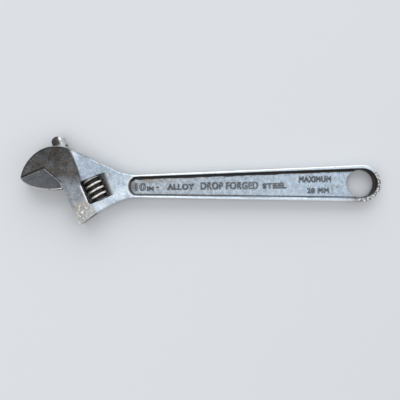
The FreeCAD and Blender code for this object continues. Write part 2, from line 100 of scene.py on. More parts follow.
def arc(start, through, end, step):
    """Points on the circular arc from start to end, without its last point."""
    (ax, ay), (bx, by), (cx, cy) = start, through, end
    d = 2 * (ax * (by - cy) + bx * (cy - ay) + cx * (ay - by))
    a2, b2, c2 = ax * ax + ay * ay, bx * bx + by * by, cx * cx + cy * cy
    centre = np.array([(a2 * (by - cy) + b2 * (cy - ay) + c2 * (ay - by)) / d,
                       (a2 * (cx - bx) + b2 * (ax - cx) + c2 * (bx - ax)) / d])
    radius = np.linalg.norm(np.subtract(start, centre))
    angles = [math.atan2(*(np.subtract(p, centre)[::-1])) for p in (start, through, end)]
    sweep = (angles[2] - angles[0]) % (2 * math.pi)
    if (angles[1] - angles[0]) % (2 * math.pi) > sweep:
        sweep -= 2 * math.pi
    count = max(2, int(abs(sweep) * radius / step))
    turn = angles[0] + sweep * np.arange(count) / count
    return centre + radius * np.stack([np.cos(turn), np.sin(turn)], axis=1)


TINY = 1e-12
SHORTEST = 1e-9
KEPT_GAP = 0.93
CLEARANCE = 0.03
NEAREST_SEGMENTS = 6
BLOCK = 4000
SHARP_TURN = math.radians(24)
CORNER_SOFTEN = 2


def line(start, end, count):
    """Evenly spaced points on the straight line from start to end, without its last point."""
    share = np.arange(count)[:, None] / count
    return np.asarray(start) * (1 - share) + np.asarray(end) * share


def outline(corners, step, soften=12):
    """A closed loop of evenly spaced points. A corner is (point, point that its arc passes)."""
    runs = []
    for index, (point, through) in enumerate(corners):
        following = corners[(index + 1) % len(corners)][0]
        if through is None:
            length = np.linalg.norm(np.subtract(following, point))
            runs.append(line(point, following, max(1, round(length / step))))
        else:
            runs.append(arc(point, through, following, step))
    loop = np.concatenate(runs)
    before, after = loop - np.roll(loop, 1, axis=0), np.roll(loop, -1, axis=0) - loop
    turn = np.arctan2(before[:, 0] * after[:, 1] - before[:, 1] * after[:, 0],
                      (before * after).sum(axis=1))
    corner = np.abs(turn) > SHARP_TURN
    for count in range(soften):
        eased = (np.roll(loop, 1, axis=0) + 2 * loop + np.roll(loop, -1, axis=0)) / 4
        loop = np.where(corner[:, None] & (count >= CORNER_SOFTEN), loop, eased)
    return loop


def circle(centre, radius, count):
    turn = np.arange(count) * 2 * math.pi / count
    return np.asarray(centre) + radius * np.stack([np.cos(turn), np.sin(turn)], axis=1)


def rounded_box(low, high, radius):
    """The corners of a box between two points, each replaced by a quarter circle."""
    points = []
    places = ((high[0], high[1], 0), (low[0], high[1], 90),
              (low[0], low[1], 180), (high[0], low[1], 270))
    for x, y, first in places:
        centre = (x - radius * math.copysign(1, x - low[0] - radius),
                  y - radius * math.copysign(1, y - low[1] - radius))
        for angle in range(first, first + 91, 15):
            turn = math.radians(angle)
            points.append((centre[0] + radius * math.cos(turn), centre[1] + radius * math.sin(turn)))
    return points


def as_segments(loop):
    return np.stack([loop, np.roll(loop, -1, axis=0)], axis=1)


def distance(points, segments):
    """Each point's distance to the nearest of the segments, which are short."""
    start, run = segments[:, 0], segments[:, 1] - segments[:, 0]
    length2 = np.maximum((run ** 2).sum(axis=1), TINY)
    tree = KDTree(len(segments))
    for index, (x, y) in enumerate(start + run / 2):
        tree.insert((x, y, 0), index)
    tree.balance()
    near = min(NEAREST_SEGMENTS, len(segments))
    found = np.array([[index for _, index, _ in tree.find_n((x, y, 0), near)]
                      for x, y in points[:, :2]])
    block = points[:, None, :2] - start[found]
    share = np.clip((block * run[found]).sum(axis=2) / length2[found], 0, 1)
    gap = block - share[:, :, None] * run[found]
    return np.sqrt((gap ** 2).sum(axis=2).min(axis=1))


def inside(points, segments):
    """True where a point lies inside the closed loops that the segments make."""
    result = np.zeros(len(points), bool)
    (x0, y0), (x1, y1) = segments[:, 0].T, segments[:, 1].T
    climb = np.where(y1 == y0, TINY, y1 - y0)
    for first in range(0, len(points), BLOCK):
        block = slice(first, first + BLOCK)
        x, y = points[block, 0, None], points[block, 1, None]
        crosses = ((y0 > y) != (y1 > y)) & (x < x0 + (y - y0) * (x1 - x0) / climb)
        result[block] = crosses.sum(axis=1) % 2 == 1
    return result


def signed_distance(points, segments):
    """Distance to the loops, positive inside them."""
    return distance(points, segments) * np.where(inside(points, segments), 1, -1)


def right_hand(loop):
    """Unit vectors square to the loop, on the right of the way it runs."""
    tangent = np.roll(loop, -1, axis=0) - np.roll(loop, 1, axis=0)
    normal = np.stack([tangent[:, 1], -tangent[:, 0]], axis=1)
    return normal / np.maximum(np.linalg.norm(normal, axis=1, keepdims=True), SHORTEST)


def winding(loop):
    """1 for a loop that runs anticlockwise, -1 for one that runs clockwise."""
    x, y = loop[:, 0], loop[:, 1]
    return np.sign((x * np.roll(y, -1) - np.roll(x, -1) * y).sum())


def ring(loop, offset):
    """The loop moved inwards by the offset, without the points that come too near another edge."""
    points = loop - right_hand(loop) * offset * winding(loop)
    return points[distance(points, as_segments(loop)) > abs(offset) * KEPT_GAP]


def smooth_step(value):
    """0 up to 0, 1 from 1, and smooth between them."""
    value = np.clip(value, 0, 1)
    return value * value * (3 - 2 * value)


def rise(value, start, width):
    """0 up to the start, 1 from a width beyond it, and smooth between them."""
    return smooth_step((value - start) / width)


def fall(value, end, width):
    """1 up to a width before the end, 0 from the end on, and smooth between them."""
    return smooth_step((end - value) / width)


def spot(x, y, centre, size, reach=1.0):
    """A soft oval: 1 well inside, 0 outside. The size is its two half widths."""
    return smooth_step(reach - np.hypot((x - centre[0]) / size[0], (y - centre[1]) / size[1]))


# ---- solids from height fields

CELLS_PER_MM = 12
MERGED = 1e-5


def triangulate(points, loops):
    """A flat triangulation of the points, bounded by the first loop and open inside the others."""
    edges, every = [], []
    for loop in loops:
        first, count = len(every), len(loop)
        edges.extend((first + i, first + (i + 1) % count) for i in range(count))
        every.extend(loop)
    taken = set()
    for point in points:
        key = (round(point[0] * CELLS_PER_MM), round(point[1] * CELLS_PER_MM))
        if key not in taken:
            taken.add(key)
            every.append(point)
    vertices = [Vector((float(x), float(y))) for x, y in every]
    made, _, faces, origins, _, _ = delaunay_2d_cdt(vertices, edges, [], 0, MERGED)
    flat = np.array([tuple(v) for v in made])
    faces = np.array([tuple(f) for f in faces])
    owner = {source: index for index, sources in enumerate(origins) for source in sources}
    rims, first = [], 0
    for loop in loops:
        rims.append([owner[first + i] for i in range(len(loop))])
        first += len(loop)
    middle = flat[faces].mean(axis=1)
    keep = inside(middle, np.concatenate([as_segments(flat[rim]) for rim in rims]))
    return flat, faces[keep], rims


def quads(upper, lower):
    """The faces between two closed rows of vertices."""
    count = len(upper)
    return [(upper[i], lower[i], lower[(i + 1) % count], upper[(i + 1) % count]) for i in range(count)]


def solid_from_faces(name, flat, faces, rims, top, low, rows, belly=0.0):
    """A closed solid: the same triangles at the top heights and at the low heights, and walls of a
    few rows between their rims. belly pushes the walls' middles outwards."""
    count = len(flat)
    vertices = [np.column_stack([np.vstack([flat, flat]), np.concatenate([top, low])])]
    polygons = [tuple(f) for f in faces]
    polygons += [tuple(count + i for i in f[::-1]) for f in faces]
    used = 2 * count
    shares = 0.5 - 0.5 * np.cos(np.arange(1, rows) * math.pi / rows)
    for number, rim in enumerate(rims):
        rim = np.array(rim)
        if (winding(flat[rim]) > 0) != (number == 0):
            rim = rim[::-1]
        outward = right_hand(flat[rim])
        layers = [rim]
        for share in shares:
            swell = belly * 4 * share * (1 - share)
            z = top[rim] * (1 - share) + low[rim] * share
            vertices.append(np.column_stack([flat[rim] + outward * swell, z]))
            layers.append(used + np.arange(len(rim)))
            used += len(rim)
        layers.append(count + rim)
        for upper, lower in zip(layers, layers[1:]):
            polygons += quads(upper, lower)
    return make_object(name, np.vstack(vertices), polygons)


def add_object(name, data):
    item = bpy.data.objects.new(name, data)
    bpy.context.scene.collection.objects.link(item)
    return item


def make_object(name, vertices, polygons):
    """A mesh object from millimetre points, without those that no face uses."""
    mesh = bpy.data.meshes.new(name)
    mesh.from_pydata((np.asarray(vertices) * MM).tolist(), [], [tuple(map(int, p)) for p in polygons])
    mesh.validate()
    item = add_object(name, mesh)
    with edited(item) as work:
        bmesh.ops.delete(work, geom=[v for v in work.verts if not v.link_faces], context="VERTS")
    return item


@contextmanager
def edited(item):
    """The item's mesh open for changes, after which its faces are turned outwards."""
    work = bmesh.new()
    work.from_mesh(item.data)
    yield work
    bmesh.ops.recalc_face_normals(work, faces=work.faces)
    work.to_mesh(item.data)
    work.free()


def head_matrix(along, back):
    """Places a tool whose x is along and whose y is back."""
    x, y = head(along, back) * MM
    return Matrix(((ALONG[0], BACK[0], 0, x), (ALONG[1], BACK[1], 0, y), (0, 0, 1, 0), (0, 0, 0, 1)))


def prisms(sections, half, lean=0.0):
    """Upright prisms in the head frame, one for each section, leaning along by lean times height."""
    vertices, polygons = [], []
    for section in sections:
        first, count = len(vertices), len(section)
        for z in (-half, half):
            vertices += [(x + lean * z, y, z) for x, y in section]
        polygons.append(tuple(first + i for i in reversed(range(count))))
        polygons.append(tuple(first + count + i for i in range(count)))
        for i in range(count):
            j = (i + 1) % count
            polygons.append((first + i, first + j, first + count + j, first + count + i))
    tool = make_object("tool", vertices, polygons)
    tool.data.transform(head_matrix(0, 0))
    return tool


def lathe(name, profile, place, sides):
    """A solid of revolution about the tool's own x axis. profile is a list of (x, radius), and the
    solid is closed at both ends."""
    turn = np.arange(sides) * 2 * math.pi / sides
    vertices = [np.column_stack([np.full(sides, x), radius * np.cos(turn), radius * np.sin(turn)])
                for x, radius in profile]
    rows = np.arange(len(profile) * sides).reshape(-1, sides)
    polygons = [quad for row, following in zip(rows, rows[1:]) for quad in quads(row, following)]
    polygons += [tuple(rows[0]), tuple(rows[-1][::-1])]
    item = make_object(name, np.vstack(vertices), polygons)
    item.data.transform(place)
    return item


def boolean(item, tools, operation):
    """Apply the tools to the item one after another, and delete them."""
    for tool in tools:
        change = item.modifiers.new("cut", "BOOLEAN")
        change.operation = operation
        change.solver = "MANIFOLD"
        change.object = tool
        graph = bpy.context.evaluated_depsgraph_get()
        graph.update()
        baked = bpy.data.meshes.new_from_object(item.evaluated_get(graph))
        item.modifiers.clear()
        item.data = baked
        bpy.data.objects.remove(tool)


def shade(item, angle=38):
    """Smooth shading, with edges sharper than the angle in degrees kept crisp."""
    item.data.shade_smooth()
    item.data.set_sharp_from_angle(angle=math.radians(angle))


def points_of(item):
    """The item's vertices, in millimetres."""
    co = np.empty(len(item.data.vertices) * 3)
    item.data.vertices.foreach_get("co", co)
    return co.reshape(-1, 3) / MM


def mark(item, marks):
    """Keep numbers from 0 to 1 for each vertex, under their names, for the materials to read."""
    for name, values in marks.items():
        layer = item.data.attributes.new(name, "FLOAT", "POINT")
        layer.data.foreach_set("value", np.clip(values, 0, 1).astype(np.float32))


def wander(points, size, seed):
    """Smooth noise between about -1 and 1, one value for each point."""
    shift = Vector((seed * 17.3, seed * 5.1, seed * 9.7))
    return np.array([noise.noise(Vector(p) / size + shift) for p in points])


# ---- the forged body

RING_TURN = np.array([-math.sin(HANDLE_TAPER), math.cos(HANDLE_TAPER)])
MIRROR = np.array([1.0, -1.0])
NECK_END = np.array([-157.0, 8.0])
PANEL_SHOULDER = np.array([-160.4, 6.7])
RIM_WIDTH = 2.2
PANEL_WALL = 1.06
BULGE, BULGE_MIDDLE, BULGE_REACH = 1.3, 2, 17
NECK_SWEEP = (23.8, 6.2), (32.0, 5.0), (46.0, HANDLE_HALF)


def ring_end(radius):
    """The corners where an outline meets the round end of the handle."""
    return [(RING_CENTRE + radius * RING_TURN, RING_CENTRE + (radius, 0)),
            (RING_CENTRE + radius * RING_TURN * MIRROR, None)]


SILHOUETTE = [
    (head(0, 0), None),
    (head(0, -FACE_LENGTH), head(-6.95, -11.5)),
    (head(-12.9, 3.3), head(-11.55, 12.3)),
    (head(-6.9, 20.5), None),
    ((-173.5, 11.6), (-165.5, 8.75)),
    (NECK_END, None),
    *ring_end(RING_RADIUS),
    (NECK_END * MIRROR, (-163.6, -8.5)),
    ((-170.4, -10.35), (-178.8, -14.15)),
    ((-187.2, -18.6), None),
    (head(46.6, FRONT), None),
    (head(THROAT, FRONT), None),
]
PANEL = [
    (PANEL_SHOULDER, None),
    *ring_end(RING_RADIUS - RIM_WIDTH),
    (PANEL_SHOULDER * MIRROR, (-164.6, 0)),
]
WINDOW_START, WINDOW_END = 19.0, 36.4
WINDOW_FRONT, WINDOW_REAR = 19.25, 34.8
WINDOW_CORNER = 1.6
HOLE_EDGE = 0.5
RELIEF_BACK = 39.6
RELIEF_HALF = 2.9
RELIEF_EDGE_HALF = 4.75
RELIEF_TOP = 9.0
RELIEF_CORNER = 3.2

SLOT_START, SLOT_HALF = 3.6, 2.65
PIN_START, PIN_END, PIN_HOLE_RADIUS = 13.2, 38.1, 2.04
SCREW_START, SCREW_HOLE_RADIUS = 37.7, 3.0
BORE_START, BORE_END = -60, 90
FAR_BEYOND = 80

# Generic words in place of the tool's own: text, width, height, and the middle of each word.
WORDS = [
    ("10", 7.0, 5.0, (-156.1, -0.5)),
    ("IN", 4.4, 2.5, (-149.1, -1.8)),
    ("-", 1.4, 0.4, (-143.9, -1.0)),
    ("ALLOY", 18.6, 3.9, (-127.5, -0.8)),
    ("DROP FORGED", 40.5, 5.0, (-92.8, -0.4)),
    ("STEEL", 16.6, 3.4, (-60.8, -0.9)),
    ("MAXIMUM", 22.4, 3.9, (-32.0, 3.4)),
    ("28 MM", 15.2, 3.4, (-29.9, -4.6)),
]
LETTER_HEIGHT = 0.45
STROKE = {"10": 0.12}

# Dark knocks in the panel and the rim: x, y and radius.
SMUDGES = [(-19.8, -3.5, 1.3), (-16.1, -2.8, 0.9), (-80.9, 4.6, 0.8), (-39.6, -12.6, 0.9),
           (-56.0, 1.6, 0.7), (-86.5, 4.4, 0.5), (-101.0, 5.2, 0.5), (-139.0, 5.0, 0.6),
           (-24.5, -1.2, 0.6)]
# How wide the painted shadow band on the panel's upper wall is, in millimetres.
PANEL_SHADOW_WIDTH = 2.3
TOP_SEED, LOW_SEED = 1, 5


def letter_outlines():
    """The edges of every raised letter, as segments on the panel's floor."""
    found = []
    for text, width, height, middle in WORDS:
        curve = bpy.data.curves.new("word", "FONT")
        curve.body = text
        curve.size = 10.0
        curve.space_character = 1.1
        curve.offset = STROKE.get(text, 0.0)
        curve.resolution_u = 3
        word = add_object("word", curve)
        bpy.context.view_layer.update()
        flat = bpy.data.meshes.new_from_object(word)
        bpy.data.objects.remove(word)
        work = bmesh.new()
        work.from_mesh(flat)
        bmesh.ops.remove_doubles(work, verts=work.verts, dist=1e-4)
        rims = np.array([[tuple(v.co[:2]) for v in edge.verts] for edge in work.edges
                         if len(edge.link_faces) == 1])
        work.free()
        low, high = rims.reshape(-1, 2).min(axis=0), rims.reshape(-1, 2).max(axis=0)
        scale = np.array([width, height]) / (high - low)
        found.append((rims - (low + high) / 2) * scale + np.asarray(middle))
    return np.concatenate(found)


def sample_segments(segments, step):
    """Points along every segment, no further apart than the step."""
    return np.concatenate([line(start, end, max(1, math.ceil(np.linalg.norm(end - start) / step)))
                           for start, end in segments])


def ring_wear(points):
    """1 on the battered end of the ring, and some way along its -Y side."""
    turn = np.arctan2(points[:, 1], points[:, 0] - RING_CENTRE[0])
    low = smooth_step(1 - np.abs(turn + 1.4) / 1.6) * rise(points[:, 0], -16, 9)
    late = 3 * smooth_step(points[:, 1] / 8)
    return np.maximum(smooth_step((points[:, 0] - 3 - late) / 8), low)


def shoulder_bulge(along):
    """How far the edge of the flat head swells towards the neck, beyond a straight line."""
    return BULGE * np.maximum(1 - ((along - BULGE_MIDDLE) / BULGE_REACH) ** 2, 0)


def thickness_profile(back):
    """Half the thickness of head, neck and handle, before edges and panels."""
    sweep = arc(*NECK_SWEEP, 0.5)
    places = np.concatenate([[-60, FLAT_END], sweep[:, 0], [NECK_SWEEP[-1][0], 300]])
    heights = np.concatenate([[HEAD_HALF, HEAD_HALF], sweep[:, 1], [HANDLE_HALF, HANDLE_HALF]])
    return sum(np.interp(back + shift, places, heights) for shift in (-0.5, 0, 0.5)) / 3


def edge_radius(back):
    """How round the outer edges are: crisp on the ground head, soft on the neck and handle."""
    return np.interp(back, [FLAT_END - 2, FLAT_END + 4, 45, 60], [0.35, 0.95, 0.95, 0.65])


def round_over(gap, radius):
    """How far a rounded edge lies below the flat, at this distance from the edge."""
    run = np.clip(1 - gap / radius, 0, 1)
    return radius * (1 - np.sqrt(np.maximum(1 - run * run, 0)))


class Forging:
    """The outlines of the forged body, and what they say about any point of it."""

    def __init__(self):
        self.silhouette = self.battered(outline(SILHOUETTE, 0.6))
        self.panel = outline(PANEL, 0.7)
        corners = rounded_box((WINDOW_START, WINDOW_FRONT), (WINDOW_END, WINDOW_REAR), WINDOW_CORNER)
        self.window = outline([(head(*corner), None) for corner in corners], 0.45, soften=2)
        self.hole = circle((0, 0), HOLE_RADIUS, 110)
        self.letters = letter_outlines()

    @staticmethod
    def battered(loop):
        """The outline with the small unevenness that forging and years of use have left."""
        back = head_coordinates(loop)[1]
        solid = np.column_stack([loop, np.zeros(len(loop))])
        push = wander(solid, 14, 41) * 0.10 * smooth_step((back - 30) / 20)
        push += wander(solid, 1.8, 43) * 0.16 * ring_wear(loop)
        return loop + right_hand(loop) * push[:, None]

    def mesh_points(self):
        """Where the flat triangulation has its points: close together where the surface bends."""
        points = []
        for offset in (0.05, 0.16, 0.34, 0.6, 0.95, 1.4, 2.0):
            points += [ring(self.silhouette, offset), ring(self.hole, -offset)]
        points += [ring(self.window, -offset) for offset in (0.10, 0.24, 0.45, 0.8, 1.3, 2.0)]
        points += [ring(self.panel, offset)
                   for offset in (-0.7, -0.4, -0.2, 0.0, 0.2, 0.45, 0.7, 0.95, 1.2, 1.6, 2.1)]
        span = np.arange(-14, 52, 0.8)[:, None]
        points += [head(span, FLAT_END + shift + shoulder_bulge(span))
                   for shift in (-1.2, -0.6, -0.3, 0.0, 0.3, 0.7, 1.2, 1.8, 2.6, 3.5, 4.6)]
        edges = sample_segments(self.letters, 0.28)
        points += [edges, edges + (0.16, 0), edges - (0.16, 0), edges + (0, 0.16), edges - (0, 0.16)]
        points.append(self.grid(1.5, self.silhouette.min(axis=0), self.silhouette.max(axis=0)))
        points.append(self.grid(0.8, (-162, -8), (-20, 8)))
        points = np.concatenate(points)
        keep = signed_distance(points, as_segments(self.silhouette)) > CLEARANCE
        for loop in (self.window, self.hole):
            keep &= signed_distance(points, as_segments(loop)) < -CLEARANCE
        return points[keep]

    @staticmethod
    def grid(step, low, high):
        """An even grid, every second row of which is shifted by half a step."""
        x, y = np.meshgrid(np.arange(low[0], high[0], step), np.arange(low[1], high[1], step))
        x = x + (np.arange(len(x)) % 2)[:, None] * step / 2
        return np.column_stack([x.ravel(), y.ravel()])

    def survey(self, flat):
        """Everything that the height and the wear depend on, at each point of the plan."""
        along, back = head_coordinates(flat)
        panel = signed_distance(flat, as_segments(self.panel))
        letter = np.full(len(flat), -9.0)
        near = (np.abs(flat[:, 1]) < 9) & (flat[:, 0] > -160) & (flat[:, 0] < -20)
        letter[near] = signed_distance(flat[near], self.letters)
        return SimpleNamespace(
            along=along, back=back, panel=panel, letter=letter,
            shoulder=back - shoulder_bulge(along),
            **{name: distance(flat, as_segments(loop)) for name, loop in
               (("edge", self.silhouette), ("window", self.window), ("hole", self.hole))})

    def height(self, flat, facts, seed, lettered):
        """The height of one face of the forging above its middle plane."""
        back = facts.back
        height = thickness_profile(facts.shoulder)
        height -= round_over(facts.edge, edge_radius(facts.shoulder))
        height -= PANEL_DEPTH * smooth_step((facts.panel + 0.3) / (PANEL_WALL + 0.6))
        height -= round_over(facts.hole, np.full(len(flat), HOLE_EDGE))
        front = smooth_step((WINDOW_FRONT + 0.3 - back) / 0.3)
        height -= round_over(facts.window, 0.24 + 0.4 * front)
        if lettered:
            height += LETTER_HEIGHT * smooth_step((facts.letter + 0.17) / 0.34)
        worked = rise(back, FLAT_END, 6)
        solid = np.column_stack([flat, np.full(len(flat), seed * 10.0)])
        height += wander(solid, 9.0, seed) * (0.02 + 0.09 * worked)
        height += wander(solid, 2.6, seed + 1) * (0.008 + 0.03 * worked)
        battered = ring_wear(flat) * smooth_step(-facts.panel / 0.5)
        height += battered * (0.20 * wander(solid, 1.5, seed + 2) - 0.08)
        return height


def relief_tools():
    """The sloping thumb reliefs behind the window, one in each face."""
    tools = []
    for side in (1, -1):
        floor, top = side * RELIEF_HALF, side * RELIEF_TOP
        steep = (RELIEF_TOP - RELIEF_HALF) / (RELIEF_EDGE_HALF - RELIEF_HALF)
        run = (RELIEF_BACK - WINDOW_REAR) * steep
        section = [(WINDOW_REAR - 1, floor), (WINDOW_REAR, floor), (WINDOW_REAR + run, top),
                   (WINDOW_REAR - 1, top)]
        low, high = (WINDOW_START + 0.1, WINDOW_REAR - 3), (WINDOW_END - 0.1, RELIEF_BACK - 0.4)
        plan = prisms([rounded_box(low, high, RELIEF_CORNER)], 12)
        vertices = [(along, *point) for along in (WINDOW_START - 1, WINDOW_END + 1)
                    for point in section]
        polygons = [(3, 2, 1, 0), (4, 5, 6, 7)]
        polygons += [(i, (i + 1) % 4, (i + 1) % 4 + 4, i + 4) for i in range(4)]
        wedge = make_object("tool", vertices, polygons)
        wedge.data.transform(head_matrix(0, 0))
        boolean(wedge, [plan], "INTERSECT")
        tools.append(wedge)
    return tools


def bore_tools():
    """What is drilled and slotted out of the head: rack bore, web slot, pin hole and screw hole."""
    slot = [(SLOT_START, -RACK_RADIUS), (FAR_BEYOND, -RACK_RADIUS), (FAR_BEYOND, RACK_BACK),
            (SLOT_START, RACK_BACK)]
    return [
        drill(head_matrix(0, RACK_BACK), BORE_START, BORE_END, BORE_RADIUS, 96),
        prisms([slot], SLOT_HALF),
        drill(head_matrix(0, KNURL_BACK), PIN_START, PIN_END, PIN_HOLE_RADIUS),
        drill(head_matrix(0, KNURL_BACK), SCREW_START, FAR_BEYOND, SCREW_HOLE_RADIUS),
    ]


def drill(place, start, end, radius, sides=48):
    return lathe("tool", [(start, radius), (end, radius)], place, sides)


def seam_shade_mark(points):
    """The dark line along which the closed jaws meet, wider between their gripping faces: painted shade, with dirt
    in the gap.
    """
    grip = distance(points, sampled(head(0, -FACE_LENGTH), head(0, 0)))
    slant = distance(points, sampled(head(0, 0), head(THROAT, FRONT)))
    return np.maximum(fall(grip, 1.25, 0.55), fall(slant, 0.75, 0.45))


def sampled(start, end, count=24):
    """The straight line between two points as short segments."""
    points = np.vstack([line(start, end, count), end])
    return np.stack([points[:-1], points[1:]], axis=1)


def make_forging():
    forging = Forging()
    flat, faces, rims = triangulate(forging.mesh_points(),
                                    [forging.silhouette, forging.window, forging.hole])
    facts = forging.survey(flat)
    top = forging.height(flat, facts, TOP_SEED, True)
    low = -forging.height(flat, facts, LOW_SEED, False)
    item = solid_from_faces("wrench_forging", flat, faces, rims, top, low, rows=6, belly=0.12)
    boolean(item, relief_tools() + bore_tools(), "DIFFERENCE")
    points = points_of(item)
    facts = forging.survey(points[:, :2])
    facts.x, facts.y, facts.height = points[:, 0], points[:, 1], np.abs(points[:, 2])
    facts.sunk = thickness_profile(facts.shoulder) - facts.height
    facts.patchy = wander(points, 7.0, 11)
    facts.band = PANEL_SHADOW_WIDTH + 0.25 * wander(points, 5.0, 17)
    for marks in (head_marks, edge_marks, window_marks, panel_marks, ring_marks):
        mark(item, marks(facts))
    mark(item, {"seam": seam_shade_mark(points[:, :2])})
    shade(item)
    return item


def head_marks(facts):
    """Where the head is ground, dull or brown, where it is brightened by bare plating and a painted highlight, and
    where its heel is battered.
    """
    along, back, patchy = facts.along, facts.back, facts.patchy
    fade = 18.0 + 0.45 * (back - 8) + 3 * patchy
    blur = 0.9 + 2.6 * fall(along, 3, 9)
    ground = smooth_step((FLAT_END + 0.5 + blur / 2 - facts.shoulder) / blur) * fall(along, fade, 9)
    facts.ground = ground
    dull = fall(back, 21.5 + 3 * patchy, 5) * fall(along, 58, 30)
    # Bright patches by the edge of the head's flats and below the window: bare plating, with a painted highlight
    # along the flats' edge.
    clean = np.maximum(spot(along, back, (41, 26), (9, 9)), spot(along, back, (-5, 24), (10, 4.5)))
    return {
        "ground": ground,
        "muted": spot(along, back, (10, 40), (20, 13), 1.25),
        "crown": fall(along, 4, 9) * rise(back, -12, 12),
        "dull": dull,
        "brown": np.maximum(spot(along, back, (17, 17), (7, 6), 1.3), 0.5 * dull),
        "clean": np.maximum(clean, 0.6 * spot(along, back, (37, 38), (5, 12))),
        "heel": spot(along, back, (40, 13), (13, 13)),
        "heel_core": spot(along, back, (40, 13.5), (9, 9)),
    }


def edge_marks(facts):
    """Edges worn bright with a painted highlight along them, strongest towards the handle and the heel, and the
    shaded edges of the upper jaw.
    """
    along, back, edge = facts.along, facts.back, facts.edge
    width = 0.12 + 0.1 * facts.ground
    bright = 0.35 + 0.65 * rise(back, 48, 10) + 0.65 * rise(along, 34, 8)
    worn = (1 - rise(edge, width, 0.4)) * fall(facts.sunk, 1.6, 1.2) * np.minimum(bright, 1)
    shaded = np.maximum(rise(edge, 0.1, 0.2) * fall(edge, 1.3, 0.7), fall(edge, 0.3, 0.2))
    return {"worn_edge": worn, "shaded_edge": shaded * fall(along, 10, 6) * fall(back, 52, 12)}


def window_marks(facts):
    """The window's bright front edge, and darker colour in its pockets and on its reliefs."""
    along, back, window = facts.along, facts.back, facts.window
    lit = fall(window, 1.0, 0.4) * fall(back, WINDOW_FRONT + 0.1, 0.3)
    lit *= rise(along, 20.5, 2) * rise(facts.height, 5.5, 0.5)
    pocket = fall(window, 0.9, 0.9) * rise(facts.sunk, 0.6, 0.8)
    relief = rise(facts.sunk, 0.3, 0.3)
    relief *= rise(back, WINDOW_REAR - 0.9, 0.5) * fall(back, RELIEF_BACK + 0.6, 0.4)
    relief *= rise(along, WINDOW_START - 0.4, 0.4) * fall(along, WINDOW_END + 0.4, 0.4)
    relief *= np.interp(back, [WINDOW_REAR, RELIEF_BACK], [0.9, 0.72])
    return {"lit_edge": lit, "pocket": np.maximum(pocket, relief)}


def panel_marks(facts):
    """The panel's floor, its rim, painted shadow on its upper wall and by the hole, a dark line at its walls'
    foot, and its stains and knocks.
    """
    x, y, panel = facts.x, facts.y, facts.panel
    half = np.interp(x, [-161, 0], [6.7, RING_RADIUS - RIM_WIDTH])
    turn = np.arctan2(y, x - RING_CENTRE[0])
    north = np.where(x > RING_CENTRE[0], rise(turn, -1.1, 0.8), rise(y / half, 0.35, 0.35))
    wall = rise(panel, -0.1, 0.3) * fall(panel, facts.band, 0.55)
    foot = np.clip(1 - np.abs(panel - 1.0) / 0.8, 0, 1)
    ledge = rise(x, 4, 4) * rise(panel, 0.15, 0.4)
    beside = np.maximum(rise(x, -158, 12), 0.8 * rise(panel, -1.4, 0.6))
    smudge = np.zeros(len(x))
    for *centre, radius in SMUDGES:
        smudge = np.maximum(smudge, spot(x, y, centre, (radius, radius), 1.2))
    return {
        "panel": smooth_step(panel / 1.2),
        "handle_end": rise(x, -150, 120),
        # Painted shadow on the upper (north) wall and on the ledge right of the hole, with a dark line at the foot
        # of the walls.
        "grime": np.maximum(np.maximum(wall * north, foot * 0.75), ledge * 0.85),
        "rim": smooth_step(-panel / 0.3) * beside,
        "stain": spot(x, y, (-146, 3.4), (14, 2.4), 1.15),
        "nook": spot(x, y, (-161.5, 0), (4.5, 6), 1.1),
        "smudge": smudge,
        "letter_foot": smooth_step(1.25 - np.abs(facts.letter + 0.02) / 0.26),
    }


def ring_marks(facts):
    """Rust round the end of the ring, and where it is rubbed bright."""
    shifted = np.column_stack([facts.x, facts.y]) + 2.0 * facts.patchy[:, None]
    rust = ring_wear(shifted) * smooth_step(-facts.panel / 0.4 + 0.6)
    return {"rust": rust, "rubbed": rust * (0.3 + 0.7 * rise(facts.height, 3.0, 0.8))}


forging = make_forging()
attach(forging, "handle")
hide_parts("wrench_body")


# ---- the moving jaw

JAW_HALF = 7.05
LEAF = [
    ((0.05, -0.11), None),
    ((0.05, -FACE_LENGTH), None),
    ((0.95, -18.35), (5.6, -16.1)),
    ((10.0, -11.75), (15.35, -3.35)),
    ((18.5, 6.83), None),
    ((13.73, 6.83), None),
]
WEB = [(4, 0), (16, 0), (16, 7.07), (28.5, 7.07), (28.5, RACK_BACK), (4, RACK_BACK)]
WEB_HALF = 2.5
RACK_START, RACK_END = -17.8, 28.5
RACK_TOP = RACK_BACK + RACK_RADIUS
RACK_NOSE = [(0.0, 2.4), (0.35, 3.3), (0.9, 4.0), (1.5, 4.5), (2.2, 4.85), (3.0, 5.02),
             (3.8, RACK_RADIUS)]
PITCH = 4.2
KNURL_RADIUS = 7.35
KNURL_MIDDLE = 27.7
THREAD_PHASE = 1.69
GROOVES = 10
GROOVE_SECTION = [(-0.85, 3.7), (0.85, 3.7), (1.3, 5.4), (-1.3, 5.4)]
GROOVE_HALF = 7.6
SLANT_BACK, SLANT_LENGTH = 15.6, 3.8
NOSE_DIMPLE = (-16.0, 16.0)
DIMPLE_HEIGHT, DIMPLE_RADIUS, DIMPLE_DEPTH = 4.6, 1.3, 0.5


